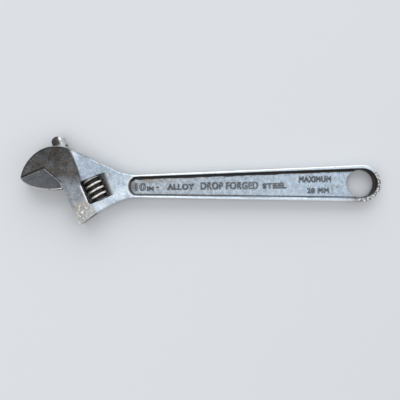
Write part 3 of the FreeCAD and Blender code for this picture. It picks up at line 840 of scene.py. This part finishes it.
def make_leaf():
    loop = outline(LEAF, 0.45)
    points = [ring(loop, offset) for offset in (0.07, 0.2, 0.38, 0.62, 0.95, 1.4, 2.0)]
    points.append(Forging.grid(1.1, loop.min(axis=0), loop.max(axis=0)))
    points = np.concatenate(points)
    points = points[signed_distance(points, as_segments(loop)) > CLEARANCE]
    flat, faces, rims = triangulate(points, [loop])
    edge = distance(flat, as_segments(loop))
    sides = []
    for seed in (21, 27):
        solid = np.column_stack([flat, np.full(len(flat), seed)])
        belly = rise(flat[:, 0], 0.6, 1.5) * fall(flat[:, 1], 5.5, 2)
        belly *= rise(behind_slant(flat[:, 0], flat[:, 1]), 1.5, 2)
        chamfer = round_over(edge, 0.3 + belly * (0.45 + 0.15 * wander(solid, 4.0, seed + 2)))
        sides.append(JAW_HALF - chamfer + 0.03 * (wander(solid, 5.0, seed) - 1))
    item = solid_from_faces("sliding_jaw", flat, faces, rims, sides[0], -sides[1], rows=7)
    item.data.transform(head_matrix(0, 0))
    return item


def rack_profile():
    nose = [(RACK_START + x, radius) for x, radius in RACK_NOSE]
    middle = [(x, RACK_RADIUS) for x in np.arange(RACK_START + 4.6, RACK_END - 0.6, 0.8)]
    return nose + middle + [(RACK_END - 0.35, RACK_RADIUS), (RACK_END, RACK_RADIUS - 0.35)]


def make_jaw():
    item = make_leaf()
    rack = lathe("rack", rack_profile(), head_matrix(0, RACK_BACK), 96)
    slant = [(RACK_START, SLANT_BACK), (RACK_START + SLANT_LENGTH, RACK_TOP + 1),
             (RACK_START - 1, RACK_TOP + 1), (RACK_START - 1, SLANT_BACK)]
    boolean(rack, [prisms([slant], 8)], "DIFFERENCE")
    boolean(item, [prisms([WEB], WEB_HALF), rack], "UNION")
    first = KNURL_MIDDLE + THREAD_PHASE - PITCH * (GROOVES - 1)
    lean = -PITCH / (2 * math.pi * KNURL_RADIUS)
    sections = [[(first + i * PITCH + x, RACK_BACK + y) for x, y in GROOVE_SECTION]
                for i in range(GROOVES)]
    boolean(item, [prisms(sections, GROOVE_HALF, lean)], "DIFFERENCE")
    finish_jaw(item)
    return item


def behind_slant(along, back):
    """How far a point lies on the throat's side of the line from the jaw tip."""
    return THROAT_SLOPE * along - back


def finish_jaw(item):
    points = points_of(item)
    along, back = head_coordinates(points)
    gap = np.linalg.norm(points - (*head(*NOSE_DIMPLE), DIMPLE_HEIGHT), axis=1) / DIMPLE_RADIUS
    points[:, 2] -= DIMPLE_DEPTH * smooth_step(1 - gap)
    item.data.vertices.foreach_set("co", (points * MM).ravel())
    item.data.update()
    edge = distance(np.column_stack([along, back]), as_segments(outline(LEAF, 0.45)))
    behind = behind_slant(along, back)
    top = rise(np.abs(points[:, 2]), JAW_HALF - 1.3, 0.7)
    reach = 0.5 + 0.35 * rise(behind, 2, 3)
    worn = (1 - smooth_step((edge - 0.1) / reach)) * top * rise(along, 0.3, 0.8)
    grip = fall(along, 0.7, 0.5) * fall(back, 1, 0.5)
    radius = np.hypot(back - RACK_BACK, points[:, 2])
    deep = fall(radius, RACK_RADIUS - 0.25, 0.6) * rise(along, RACK_START + 3, 4)
    # The rack's visible nub: painted shade over its left side, which faces away from the light, a darker band near
    # its left edge, and a darker tip and dimple.
    nose = fall(along, RACK_START + 2.2, 2)
    pit = spot(along, back, NOSE_DIMPLE, (1.2, 1.2))
    left = fall(back, 13.4, 0.8) * rise(back, 11.1, 0.6)
    dull = nose * 0.45 + 0.97 * fall(back, 18.0, 1.8)
    mark(item, {
        # Edges worn bright, with a painted highlight along them, strongest behind the slant.
        "worn_edge": worn * (0.3 + 0.7 * smooth_step(behind / 1.2)),
        # Painted shade, with dirt, along the gripping face where the jaws meet.
        "seam": grip * smooth_step(1 - (edge - 0.1) / 0.5),
        # Dark in the rack's grooves, most at their floors: painted shade along with grease.
        "grime": np.where(back > 8.5, deep, 0),
        "rack": rise(back, 7.2, 1.0),
        "inner": rise(behind, -4, 9) * fall(back, 7, 8),
        "nose": np.maximum(dull, np.maximum(pit, left * 0.85)) * fall(along, RACK_START + 8, 2),
    })
    shade(item, 35)


jaw = make_jaw()
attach(jaw, "jaw")
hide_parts("movable_jaw")


# ---- the knurl

KNURL_HALF = 8.45
RIDGE = [(0.0, 0.0), (0.35, 0.0), (0.55, 0.05), (0.66, 0.18), (0.74, 0.40), (0.85, 0.70), (1.0, 1.1),
         (1.13, 1.46), (1.26, 1.83), (1.38, 2.06), (1.55, 2.17), (1.8, 2.2)]
RIDGE_STEPS = 168
RIDGE_TURNS = range(-4, 5)
SERRATIONS = 56
SERRATION_DEPTH = 0.08
KNURL_ENDS = [(0.0, 6.5), (0.5, 7.2), (1.0, 7.65)]
KNURL_BORE = 2.06
COUNTERBORE, COUNTERBORE_DEPTH = 3.1, 5.5


def worm():
    """An endless ridge round the along axis, long enough to be trimmed to the knurl's ends."""
    half = [(s, KNURL_RADIUS - drop) for s, drop in RIDGE]
    section = [(-s, radius) for s, radius in reversed(half[1:])] + half + [(PITCH / 2, half[-1][1])]
    offsets = np.array([turn * PITCH + s for turn in RIDGE_TURNS for s, _ in section])
    radii = np.array([radius for _ in RIDGE_TURNS for _, radius in section])
    crest = rise(radii, KNURL_RADIUS - 0.35, 0.3)
    vertices, polygons = [], []
    for step in range(RIDGE_STEPS):
        turn = step / RIDGE_STEPS
        angle = 2 * math.pi * turn
        notch = 0.5 - 0.5 * math.cos(angle * SERRATIONS)
        radius = radii - SERRATION_DEPTH * notch ** 4 * crest
        x = THREAD_PHASE + PITCH / 2 + PITCH * turn + offsets
        vertices.append(np.column_stack([x, radius * math.cos(angle), radius * math.sin(angle)]))
    count = len(offsets)
    for step in range(RIDGE_STEPS):
        following = (step + 1) % RIDGE_STEPS
        shift = len(section) if following == 0 else 0
        for i in range(count - 1 - shift):
            a, b = step * count + i, following * count + i + shift
            polygons.append((a, b, b + 1, a + 1))
    return make_object("adjusting_knurl", np.vstack(vertices), polygons)


def close_ends(item):
    """Cap the open loops at both ends of a tube with triangles."""
    with edited(item) as work:
        bmesh.ops.holes_fill(work, edges=[edge for edge in work.edges if edge.is_boundary], sides=0)
        bmesh.ops.triangulate(work, faces=[f for f in work.faces if len(f.verts) > 4])


def make_knurl():
    item = worm()
    close_ends(item)
    profile = [(x - KNURL_HALF, radius) for x, radius in KNURL_ENDS]
    profile += [(KNURL_HALF - x, radius) for x, radius in reversed(KNURL_ENDS)]
    upright = Matrix.Identity(4)
    boolean(item, [lathe("tool", profile, upright, 96)], "INTERSECT")
    bore = drill(upright, -9, 9, KNURL_BORE)
    spring_seat = drill(upright, KNURL_HALF - COUNTERBORE_DEPTH, 9, COUNTERBORE)
    boolean(item, [bore, spring_seat], "DIFFERENCE")
    points = points_of(item)
    radius = np.hypot(points[:, 1], points[:, 2])
    uneven = wander(points, 3.0, 31)
    crest = smooth_step((radius - KNURL_RADIUS + 1.25 + 0.2 * uneven) / 0.7)
    # Worn crests, halved towards the knurl's upper end as painted shadow.
    mark(item, {"crest": crest * np.interp(points[:, 0], [-7.0, -5.0], [0.5, 1.0])})
    item.data.transform(head_matrix(KNURL_MIDDLE, KNURL_BACK))
    shade(item, 40)
    return item


knurl = make_knurl()
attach(knurl, "knurl")
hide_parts("knurl")


# ---- materials

class Nodes:
    """A node tree, and short ways to add nodes to it and to join them."""

    def __init__(self, tree):
        self.tree = tree

    def add(self, kind, **inputs):
        node = self.tree.nodes.new(kind)
        for name, value in inputs.items():
            self.feed(node.inputs[name.replace("_", " ")], value)
        return node

    def feed(self, socket, value):
        if isinstance(value, bpy.types.NodeSocket):
            self.tree.links.new(value, socket)
        elif isinstance(value, tuple) and len(value) == 3 and socket.type == "RGBA":
            socket.default_value = (*value, 1)
        else:
            socket.default_value = value

    def calculate(self, kind, sockets, values, output=0, **settings):
        """The output of a new node with these settings, whose sockets are fed with the values."""
        node = self.tree.nodes.new(kind)
        for setting, value in settings.items():
            setattr(node, setting, value)
        for socket, value in zip(sockets, values):
            self.feed(node.inputs[socket], value)
        return node.outputs[output]


class Steel(Nodes):
    """A steel whose colour, roughness and relief are built up layer by layer.

    A strength is a socket, a number, the name of a mark, or a tuple of these to be multiplied.
    """

    def __init__(self, name, colour, roughness):
        self.material = bpy.data.materials.new(name)
        self.material.use_nodes = True
        super().__init__(self.material.node_tree)
        self.shader = self.tree.nodes["Principled BSDF"]
        self.place = self.add("ShaderNodeTexCoord").outputs["Object"]
        self.colour = self.mix(1.0, colour, colour)
        self.roughness = self.value(roughness)
        self.metallic = self.value(1.0)
        self.relief = self.value(0.0)

    def value(self, number):
        node = self.tree.nodes.new("ShaderNodeValue")
        node.outputs[0].default_value = number
        return node.outputs[0]

    def math(self, operation, *values):
        return self.calculate("ShaderNodeMath", range(3), values, operation=operation)

    def strength(self, factor):
        """The socket or number that a strength stands for."""
        if isinstance(factor, str):
            return self.calculate("ShaderNodeAttribute", (), (), "Fac", attribute_name=factor)
        if isinstance(factor, tuple):
            product, *others = [self.strength(item) for item in factor]
            for other in others:
                product = self.math("MULTIPLY", product, other)
            return product
        return factor

    def mix(self, factor, first, second):
        """The first colour where the factor is 0, the second where it is 1."""
        values = self.strength(factor), first, second
        return self.calculate("ShaderNodeMix", (0, 6, 7), values, 2, data_type="RGBA")

    def blend(self, factor, first, second):
        """The first number where the factor is 0, the second where it is 1."""
        return self.calculate("ShaderNodeMix", (0, 2, 3), (self.strength(factor), first, second))

    def ramp(self, factor, low, high):
        """0 below low, 1 above high, and smooth between them."""
        return self.calculate("ShaderNodeMapRange", range(3), (self.strength(factor), low, high),
                              interpolation_type="SMOOTHSTEP")

    def noise(self, size, detail, rough, shift, stretch=(1, 1, 1), turn=0.0):
        """Noise with blotches of about size millimetres. shift makes it a pattern of its own."""
        mapping = self.add("ShaderNodeMapping", Vector=self.place, Scale=stretch,
                           Location=(shift, shift * 0.7, shift * 1.3), Rotation=(0, 0, turn))
        node = self.add("ShaderNodeTexNoise", Vector=mapping.outputs[0], Scale=1 / (size * MM),
                        Detail=detail, Roughness=rough)
        return node.outputs[0]

    def blotches(self, size, detail, rough, shift, low, high):
        """Patches of noise with edges between them: 0 where it is below low, 1 above high."""
        return self.ramp(self.noise(size, detail, rough, shift), low, high)

    def coat(self, factor, colour=None, roughness=None, metallic=None, depth=0.0):
        """Lay a finish over what is there. depth is how far it sinks, in millimetres."""
        factor = self.strength(factor)
        if colour is not None:
            self.colour = self.mix(factor, self.colour, colour)
        if roughness is not None:
            self.roughness = self.blend(factor, self.roughness, roughness)
        if metallic is not None:
            self.metallic = self.blend(factor, self.metallic, metallic)
        if depth:
            self.relief = self.math("MULTIPLY_ADD", factor, -depth, self.relief)

    def shade(self, factor, darkest, brightest):
        """Multiply the colour by a number that runs from darkest to brightest with the factor."""
        values = self.colour, self.blend(factor, darkest, brightest)
        self.colour = self.calculate("ShaderNodeVectorMath", (0, "Scale"), values, operation="SCALE")

    def pits(self, strength, size, middle, spread, shift, *finish):
        """Small scattered pits, denser in some places than in others."""
        fine = self.noise(size, 2.0, 0.5, shift)
        crowd = self.noise(size * PIT_CROWD, 2.0, 0.5, shift + 3)
        level = self.blend(crowd, middle + spread, middle - spread)
        pitted = self.ramp(fine, level, self.math("ADD", level, PIT_EDGE))
        self.coat((pitted, strength), *finish)

    def scratches(self, length, width, turn, threshold, shift, depth):
        """Fine lines that run one way."""
        lines = self.noise(width, 2.0, 0.6, shift, (width / length, 1, 1), turn)
        self.coat(self.ramp(lines, threshold, threshold + SCRATCH_EDGE), depth=depth)

    def finish(self, item):
        bump = self.add("ShaderNodeBump", Height=self.relief, Distance=MM, Strength=1.0)
        for name, value in (("Base Color", self.colour), ("Roughness", self.roughness),
                            ("Metallic", self.metallic), ("Normal", bump.outputs[0])):
            self.feed(self.shader.inputs[name], value)
        if not item.material_slots:
            item.data.materials.append(self.material)
        item.material_slots[0].material = self.material


PIT_CROWD = 14
PIT_EDGE = 0.05
SCRATCH_EDGE = 0.04

# The black and the brown darken pits and grease, and also paint shade: on the panel's upper wall, by the hole, in
# the rack's grooves and where the jaws meet.
BLACK_GRIME_AND_SHADE = (0.012, 0.010, 0.008)
BROWN_GRIME_AND_SHADE = (0.060, 0.042, 0.026)
LETTER_OUTLINE_DARK = (0.032, 0.030, 0.027)
# Painted shade on the rack nub's left side, also darkening its tip and dimple.
NOSE_SHADE_AND_PIT = (0.030, 0.027, 0.024)
POCKET_DARK = (0.088, 0.079, 0.071)
PIT = (0.045, 0.036, 0.028)
RUST = (0.120, 0.060, 0.028)

PLATING = (0.47, 0.54, 0.61)
# Bare plating, partly a painted highlight.
CLEAN_PLATING_AND_HIGHLIGHT = (0.80, 0.86, 0.90)
RIM_PLATING = (0.80, 0.86, 0.89)
TARNISH = (0.27, 0.275, 0.27)
WORN_LIGHT, WORN_DARK = (0.285, 0.315, 0.35), (0.155, 0.168, 0.182)
GROUND_LIGHT, GROUND_DARK = (0.108, 0.108, 0.110), (0.056, 0.050, 0.042)
GLINT = (0.24, 0.215, 0.175)
THROAT_BROWN = (0.105, 0.095, 0.085)
NEAR_LIGHT, NEAR_DARK = (0.47, 0.52, 0.56), (0.27, 0.30, 0.325)
FAR_LIGHT, FAR_DARK = (0.62, 0.70, 0.79), (0.42, 0.49, 0.56)
STAIN = (0.24, 0.20, 0.14)
NOOK = (0.145, 0.135, 0.115)
SMUDGE = (0.10, 0.095, 0.085)
HEEL_BROWN = (0.29, 0.265, 0.225)
HAMMERED = (0.68, 0.66, 0.60)
HEEL_WHITE = (0.84, 0.83, 0.77)
RING_BROWN = (0.125, 0.112, 0.102)
RUBBED = (0.92, 0.89, 0.86)
LIT_EDGE = (0.95, 0.97, 0.97)
# Worn edges, brightened further by a painted highlight.
BRIGHT = (0.80, 0.80, 0.79)
WARM_BRIGHT = (0.80, 0.78, 0.73)


def forged_steel(item):
    steel = Steel("forged_plated_steel", PLATING, 0.36)
    plate_the_forging(steel)
    grind_the_head(steel)
    finish_the_handle(steel)
    batter_the_heel(steel)
    steel.scratches(9, 0.12, 0.5, 0.66, 50, 0.012)
    steel.scratches(6, 0.10, -1.1, 0.68, 55, 0.012)
    # Edges worn bright, with a painted highlight along them.
    steel.coat(("worn_edge", steel.blotches(2.5, 3.0, 0.6, 60, 0.22, 0.48), 0.8), BRIGHT, 0.28)
    rust_the_ring(steel)
    fill_with_grime_and_shade(steel)
    steel.finish(item)


def plate_the_forging(steel):
    """Dulled plating, with tarnish, worn patches and the throat's brown."""
    steel.shade(steel.noise(11, 4.0, 0.6, 1), 0.74, 1.22)
    steel.shade(steel.noise(2.4, 4.0, 0.65, 4), 0.66, 1.32)
    steel.shade(steel.blotches(1.5, 3.0, 0.6, 46, 0.33, 0.67), 0.84, 1.10)
    steel.roughness = steel.math("MULTIPLY_ADD", steel.noise(3.0, 3.0, 0.55, 7), 0.16, 0.27)
    steel.coat((steel.blotches(5, 5.0, 0.7, 27, 0.50, 0.72), 0.72), TARNISH, 0.42)
    steel.shade("muted", 1.0, 0.83)
    worn = steel.mix(steel.blotches(3.6, 5.0, 0.72, 33, 0.36, 0.64), WORN_LIGHT, WORN_DARK)
    steel.coat(("dull", 0.92), worn, 0.40)
    steel.coat(("brown", 0.42), THROAT_BROWN, 0.42)
    # Bright plating in patches, partly a painted highlight along the edge of the head's flats.
    steel.coat(("clean", 0.9), CLEAN_PLATING_AND_HIGHLIGHT, 0.30)


def grind_the_head(steel):
    """The head's flat faces, ground bare and stained."""
    cloud = steel.mix(steel.blotches(9, 5.0, 0.7, 12, 0.36, 0.64), GROUND_LIGHT, GROUND_DARK)
    steel.coat("ground", cloud, 0.40)
    steel.shade(("ground", "crown"), 1.0, 0.72)
    steel.coat(("ground", steel.blotches(1.0, 2.0, 0.6, 13, 0.62, 0.72), 0.4), GLINT, 0.36)
    steel.shade(steel.noise(0.9, 4.0, 0.8, 15), 0.56, 1.46)
    fine = steel.blotches(1.4, 3.0, 0.6, 47, 0.33, 0.67)
    steel.shade(fine, steel.blend("ground", 1.0, 0.76), steel.blend("ground", 1.0, 1.24))
    steel.shade("shaded_edge", 1.0, 0.42)


def finish_the_handle(steel):
    """The panel's mottled floor, the bright rim, stains, pits and knocks."""
    mottled = steel.blotches(2.8, 4.0, 0.65, 18, 0.30, 0.70)
    near, distant = steel.mix(mottled, NEAR_DARK, NEAR_LIGHT), steel.mix(mottled, FAR_DARK, FAR_LIGHT)
    steel.coat(("panel", 0.92), steel.mix("handle_end", near, distant), 0.40)
    steel.coat(("rim", 0.9), RIM_PLATING, 0.27)
    steel.shade(steel.noise(1.1, 3.0, 0.7, 19), 0.80, 1.18)
    steel.coat(("stain", steel.blotches(3, 4, 0.6, 23, 0.3, 0.6), 0.7), STAIN, 0.5)
    steel.coat(("nook", 0.75), NOOK, 0.5)
    steel.pits(0.8, 0.6, 0.66, 0.08, 0.0, PIT, 0.6, 0.5, 0.05)
    steel.pits("panel", 0.6, 0.63, 0.06, 30, PIT, 0.6, 0.5, 0.04)
    steel.coat(("smudge", 0.7), SMUDGE, 0.5, 0.7)


def batter_the_heel(steel):
    """The bright edge of the window, and the heel's brown stain and white knocks."""
    steel.coat("lit_edge", LIT_EDGE, 0.26)
    stain = steel.blotches(3.4, 4.0, 0.7, 40, 0.34, 0.55)
    steel.coat((steel.ramp("heel", 0.05, 0.5), stain, 0.75), HEEL_BROWN, 0.42)
    steel.coat(("heel", steel.blotches(1.1, 2.0, 0.5, 43, 0.57, 0.66)), HAMMERED, 0.32, depth=0.08)
    white = steel.blotches(2.2, 3.0, 0.6, 91, 0.57, 0.63)
    steel.coat((steel.ramp("heel_core", 0.1, 0.6), white, 0.8), HEEL_WHITE, 0.32, depth=0.06)


def rust_the_ring(steel):
    """Brown wear, rust and rubbed metal round the end of the ring."""
    rusty = ("rust", steel.blotches(1.1, 4.0, 0.7, 70, 0.50, 0.62), 0.85)
    steel.coat(("rust", 0.85), RING_BROWN, 0.42)
    steel.coat(rusty, RUST, 0.75, 0.1, 0.06)
    steel.coat(("rubbed", steel.blotches(1.2, 3.0, 0.6, 75, 0.50, 0.56)), RUBBED, 0.28)


def fill_with_grime_and_shade(steel):
    """Painted shadow on the panel's upper wall and by the hole, a dark line at its walls' foot, dark letter
    outlines, darker window pockets, and painted shade where the jaws meet.
    """
    broken = steel.blotches(1.3, 4.0, 0.7, 80, 0.20, 0.62)
    # Brown, broken in places, over the painted shadow and the dark line at the walls' foot; black where these are
    # strongest.
    film = steel.ramp("grime", 0.05, 0.55), steel.blend(broken, 0.7, 1.0)
    steel.coat(film, BROWN_GRIME_AND_SHADE, 0.62, 0.25)
    steel.coat(steel.ramp("grime", 0.45, 0.95), BLACK_GRIME_AND_SHADE, 0.6, 0.1)
    # Dark outlines round the raised letters.
    steel.coat(("letter_foot", steel.blend(broken, 0.8, 1.0)), LETTER_OUTLINE_DARK, 0.6, 0.2)
    # Darker colour inside the window's pockets and on the thumb reliefs.
    steel.coat(steel.ramp("pocket", 0.05, 0.9), POCKET_DARK, 0.5, 0.6)
    # Painted shade, with dirt, where the jaws meet.
    steel.coat(steel.ramp("seam", 0.1, 0.8), BLACK_GRIME_AND_SHADE, 0.6, 0.2)


def jaw_steel(item):
    steel = Steel("jaw_ground_steel", (0.062, 0.067, 0.076), 0.38)
    steel.coat("inner", (0.089, 0.093, 0.101))
    steel.shade(steel.noise(5, 5.0, 0.7, 2), 0.55, 1.45)
    steel.shade(steel.blotches(1.4, 3.0, 0.6, 48, 0.33, 0.67), 0.86, 1.14)
    steel.shade(steel.noise(0.9, 4.0, 0.8, 5), 0.56, 1.46)
    steel.coat("rack", (0.50, 0.50, 0.49), 0.30)
    steel.pits(1.0, 0.6, 0.64, 0.07, 0.0, PIT, 0.6, 0.5, 0.05)
    steel.scratches(8, 0.11, 0.9, 0.66, 21, 0.012)
    # Edges worn bright, with a painted highlight along them.
    worn = "worn_edge", steel.blotches(2.0, 3.0, 0.6, 25, 0.22, 0.48), 0.9
    steel.coat(worn, WARM_BRIGHT, 0.28)
    # Painted shade along with grease in the rack's grooves.
    steel.coat("grime", BLACK_GRIME_AND_SHADE, 0.45, 0.2)
    # Painted shade on the nub's left side, with its darker tip and dimple.
    steel.coat("nose", NOSE_SHADE_AND_PIT, 0.5, 0.5)
    # Painted shade, with dirt, where the jaws meet.
    steel.coat(steel.ramp("seam", 0.1, 0.7), BLACK_GRIME_AND_SHADE, 0.6, 0.2)
    steel.finish(item)


def knurl_steel(item):
    steel = Steel("knurl_worn_steel", (0.016, 0.015, 0.014), 0.36)
    steel.shade(steel.noise(1.2, 4.0, 0.7, 3), 0.5, 1.6)
    steel.metallic = steel.value(0.45)
    # Bright worn crests, dimmed at the knurl's upper end as painted shadow.
    steel.coat(("crest", steel.blotches(1.6, 4.0, 0.65, 9, 0.18, 0.42)), (0.66, 0.63, 0.58), 0.30, 1.0)
    steel.pits(1.0, 0.5, 0.62, 0.06, 0.0, BLACK_GRIME_AND_SHADE, 0.5, 0.3, 0.03)
    steel.finish(item)


def plain_steel(item, name, colour, roughness):
    """Turned or drawn steel with a thin film of old oil."""
    steel = Steel(name, colour, roughness)
    steel.shade(steel.noise(2.0, 4.0, 0.65, 6), 0.7, 1.25)
    steel.scratches(3, 0.08, 1.18, 0.60, 14, 0.01)
    steel.pits(1.0, 0.5, 0.60, 0.06, 3, BROWN_GRIME_AND_SHADE, 0.6, 0.3, 0.02)
    steel.finish(item)


forged_steel(forging)
jaw_steel(jaw)
knurl_steel(knurl)
plain_steel(frame["nodes"]["knurl_pin"], "turned_pin_steel", (0.34, 0.33, 0.31), 0.36)
plain_steel(frame["nodes"]["knurl_spring"], "drawn_spring_steel", (0.30, 0.29, 0.28), 0.34)


# ---- stage, light and camera

FLOOR_HALF = 3000
FLOOR_GAP = 0.05
AIM = (-0.11, 0, 0)
SKY_BRIGHTEST = (0.42, 0.62, 0.66)
SKY = (0.40, 0.40, 0.42), (1.0, 1.05, 1.12)


def make_stage():
    """A pale floor, tilted by under a degree so that knurl and ring both lie on it."""
    knurl_rest = head(KNURL_MIDDLE + KNURL_HALF, KNURL_BACK)[0]
    ring_rest = RING_CENTRE[0] + RING_RADIUS
    slope = (KNURL_RADIUS - HANDLE_HALF) / (ring_rest - knurl_rest)
    corners = [(x, y, -KNURL_RADIUS - FLOOR_GAP + (x - knurl_rest) * slope) for x, y in
               ((-FLOOR_HALF, -FLOOR_HALF), (FLOOR_HALF, -FLOOR_HALF),
                (FLOOR_HALF, FLOOR_HALF), (-FLOOR_HALF, FLOOR_HALF))]
    floor = make_object("floor", corners, [(0, 1, 2, 3)])
    material = bpy.data.materials.new("floor_pale")
    material.use_nodes = True
    shader = material.node_tree.nodes["Principled BSDF"]
    shader.inputs["Base Color"].default_value = (0.60, 0.605, 0.61, 1)
    shader.inputs["Roughness"].default_value = 0.85
    shader.inputs["Metallic"].default_value = 0.0
    floor.data.materials.append(material)


def make_lights():
    """A sky that is brighter towards the window, and three soft lights."""
    world = bpy.context.scene.world or bpy.data.worlds.new("world")
    bpy.context.scene.world = world
    world.use_nodes = True
    sky = Nodes(world.node_tree)
    place = sky.add("ShaderNodeTexCoord").outputs["Generated"]
    facing = sky.calculate("ShaderNodeVectorMath", (0, 1), (place, SKY_BRIGHTEST), "Value",
                           operation="DOT_PRODUCT")
    stretch = sky.add("ShaderNodeMapRange", Value=facing, From_Min=-1)
    ramp = sky.add("ShaderNodeValToRGB", Fac=stretch.outputs[0])
    for element, colour in zip(ramp.color_ramp.elements, SKY):
        element.color = (*colour, 1)
    background = world.node_tree.nodes["Background"]
    sky.feed(background.inputs["Color"], ramp.outputs[0])
    background.inputs["Strength"].default_value = 0.84
    add_area("window_light", (-0.11, 1.65, 1.21), (2.64, 1.76), 26.6, (0.95, 0.97, 1.0))
    add_area("side_light", (1.91, 0.32, 0.48), (1.2, 0.7), 5.2, (1.0, 1.0, 1.0))
    add_area("fill_light", (-0.45, -0.35, 0.9), (0.7, 0.7), 2.5, (1.0, 0.98, 0.95))


def add_area(name, place, size, power, colour):
    light = bpy.data.lights.new(name, "AREA")
    light.shape = "RECTANGLE"
    light.size, light.size_y = size
    light.energy = power
    light.color = colour
    item = add_object(name, light)
    item.location = place
    item.rotation_euler = (Vector(AIM) - item.location).to_track_quat("-Z", "Y").to_euler()


def make_camera():
    camera = bpy.data.cameras.new("camera")
    camera.angle = math.radians(39.3)
    camera.clip_start = 0.01
    item = add_object("camera", camera)
    item.location = (-0.1139, -0.0103, 0.400)
    item.rotation_euler = (0, 0, math.radians(-0.72))
    bpy.context.scene.camera = item
    bpy.context.scene.view_settings.view_transform = "Standard"


make_stage()
make_lights()
make_camera()
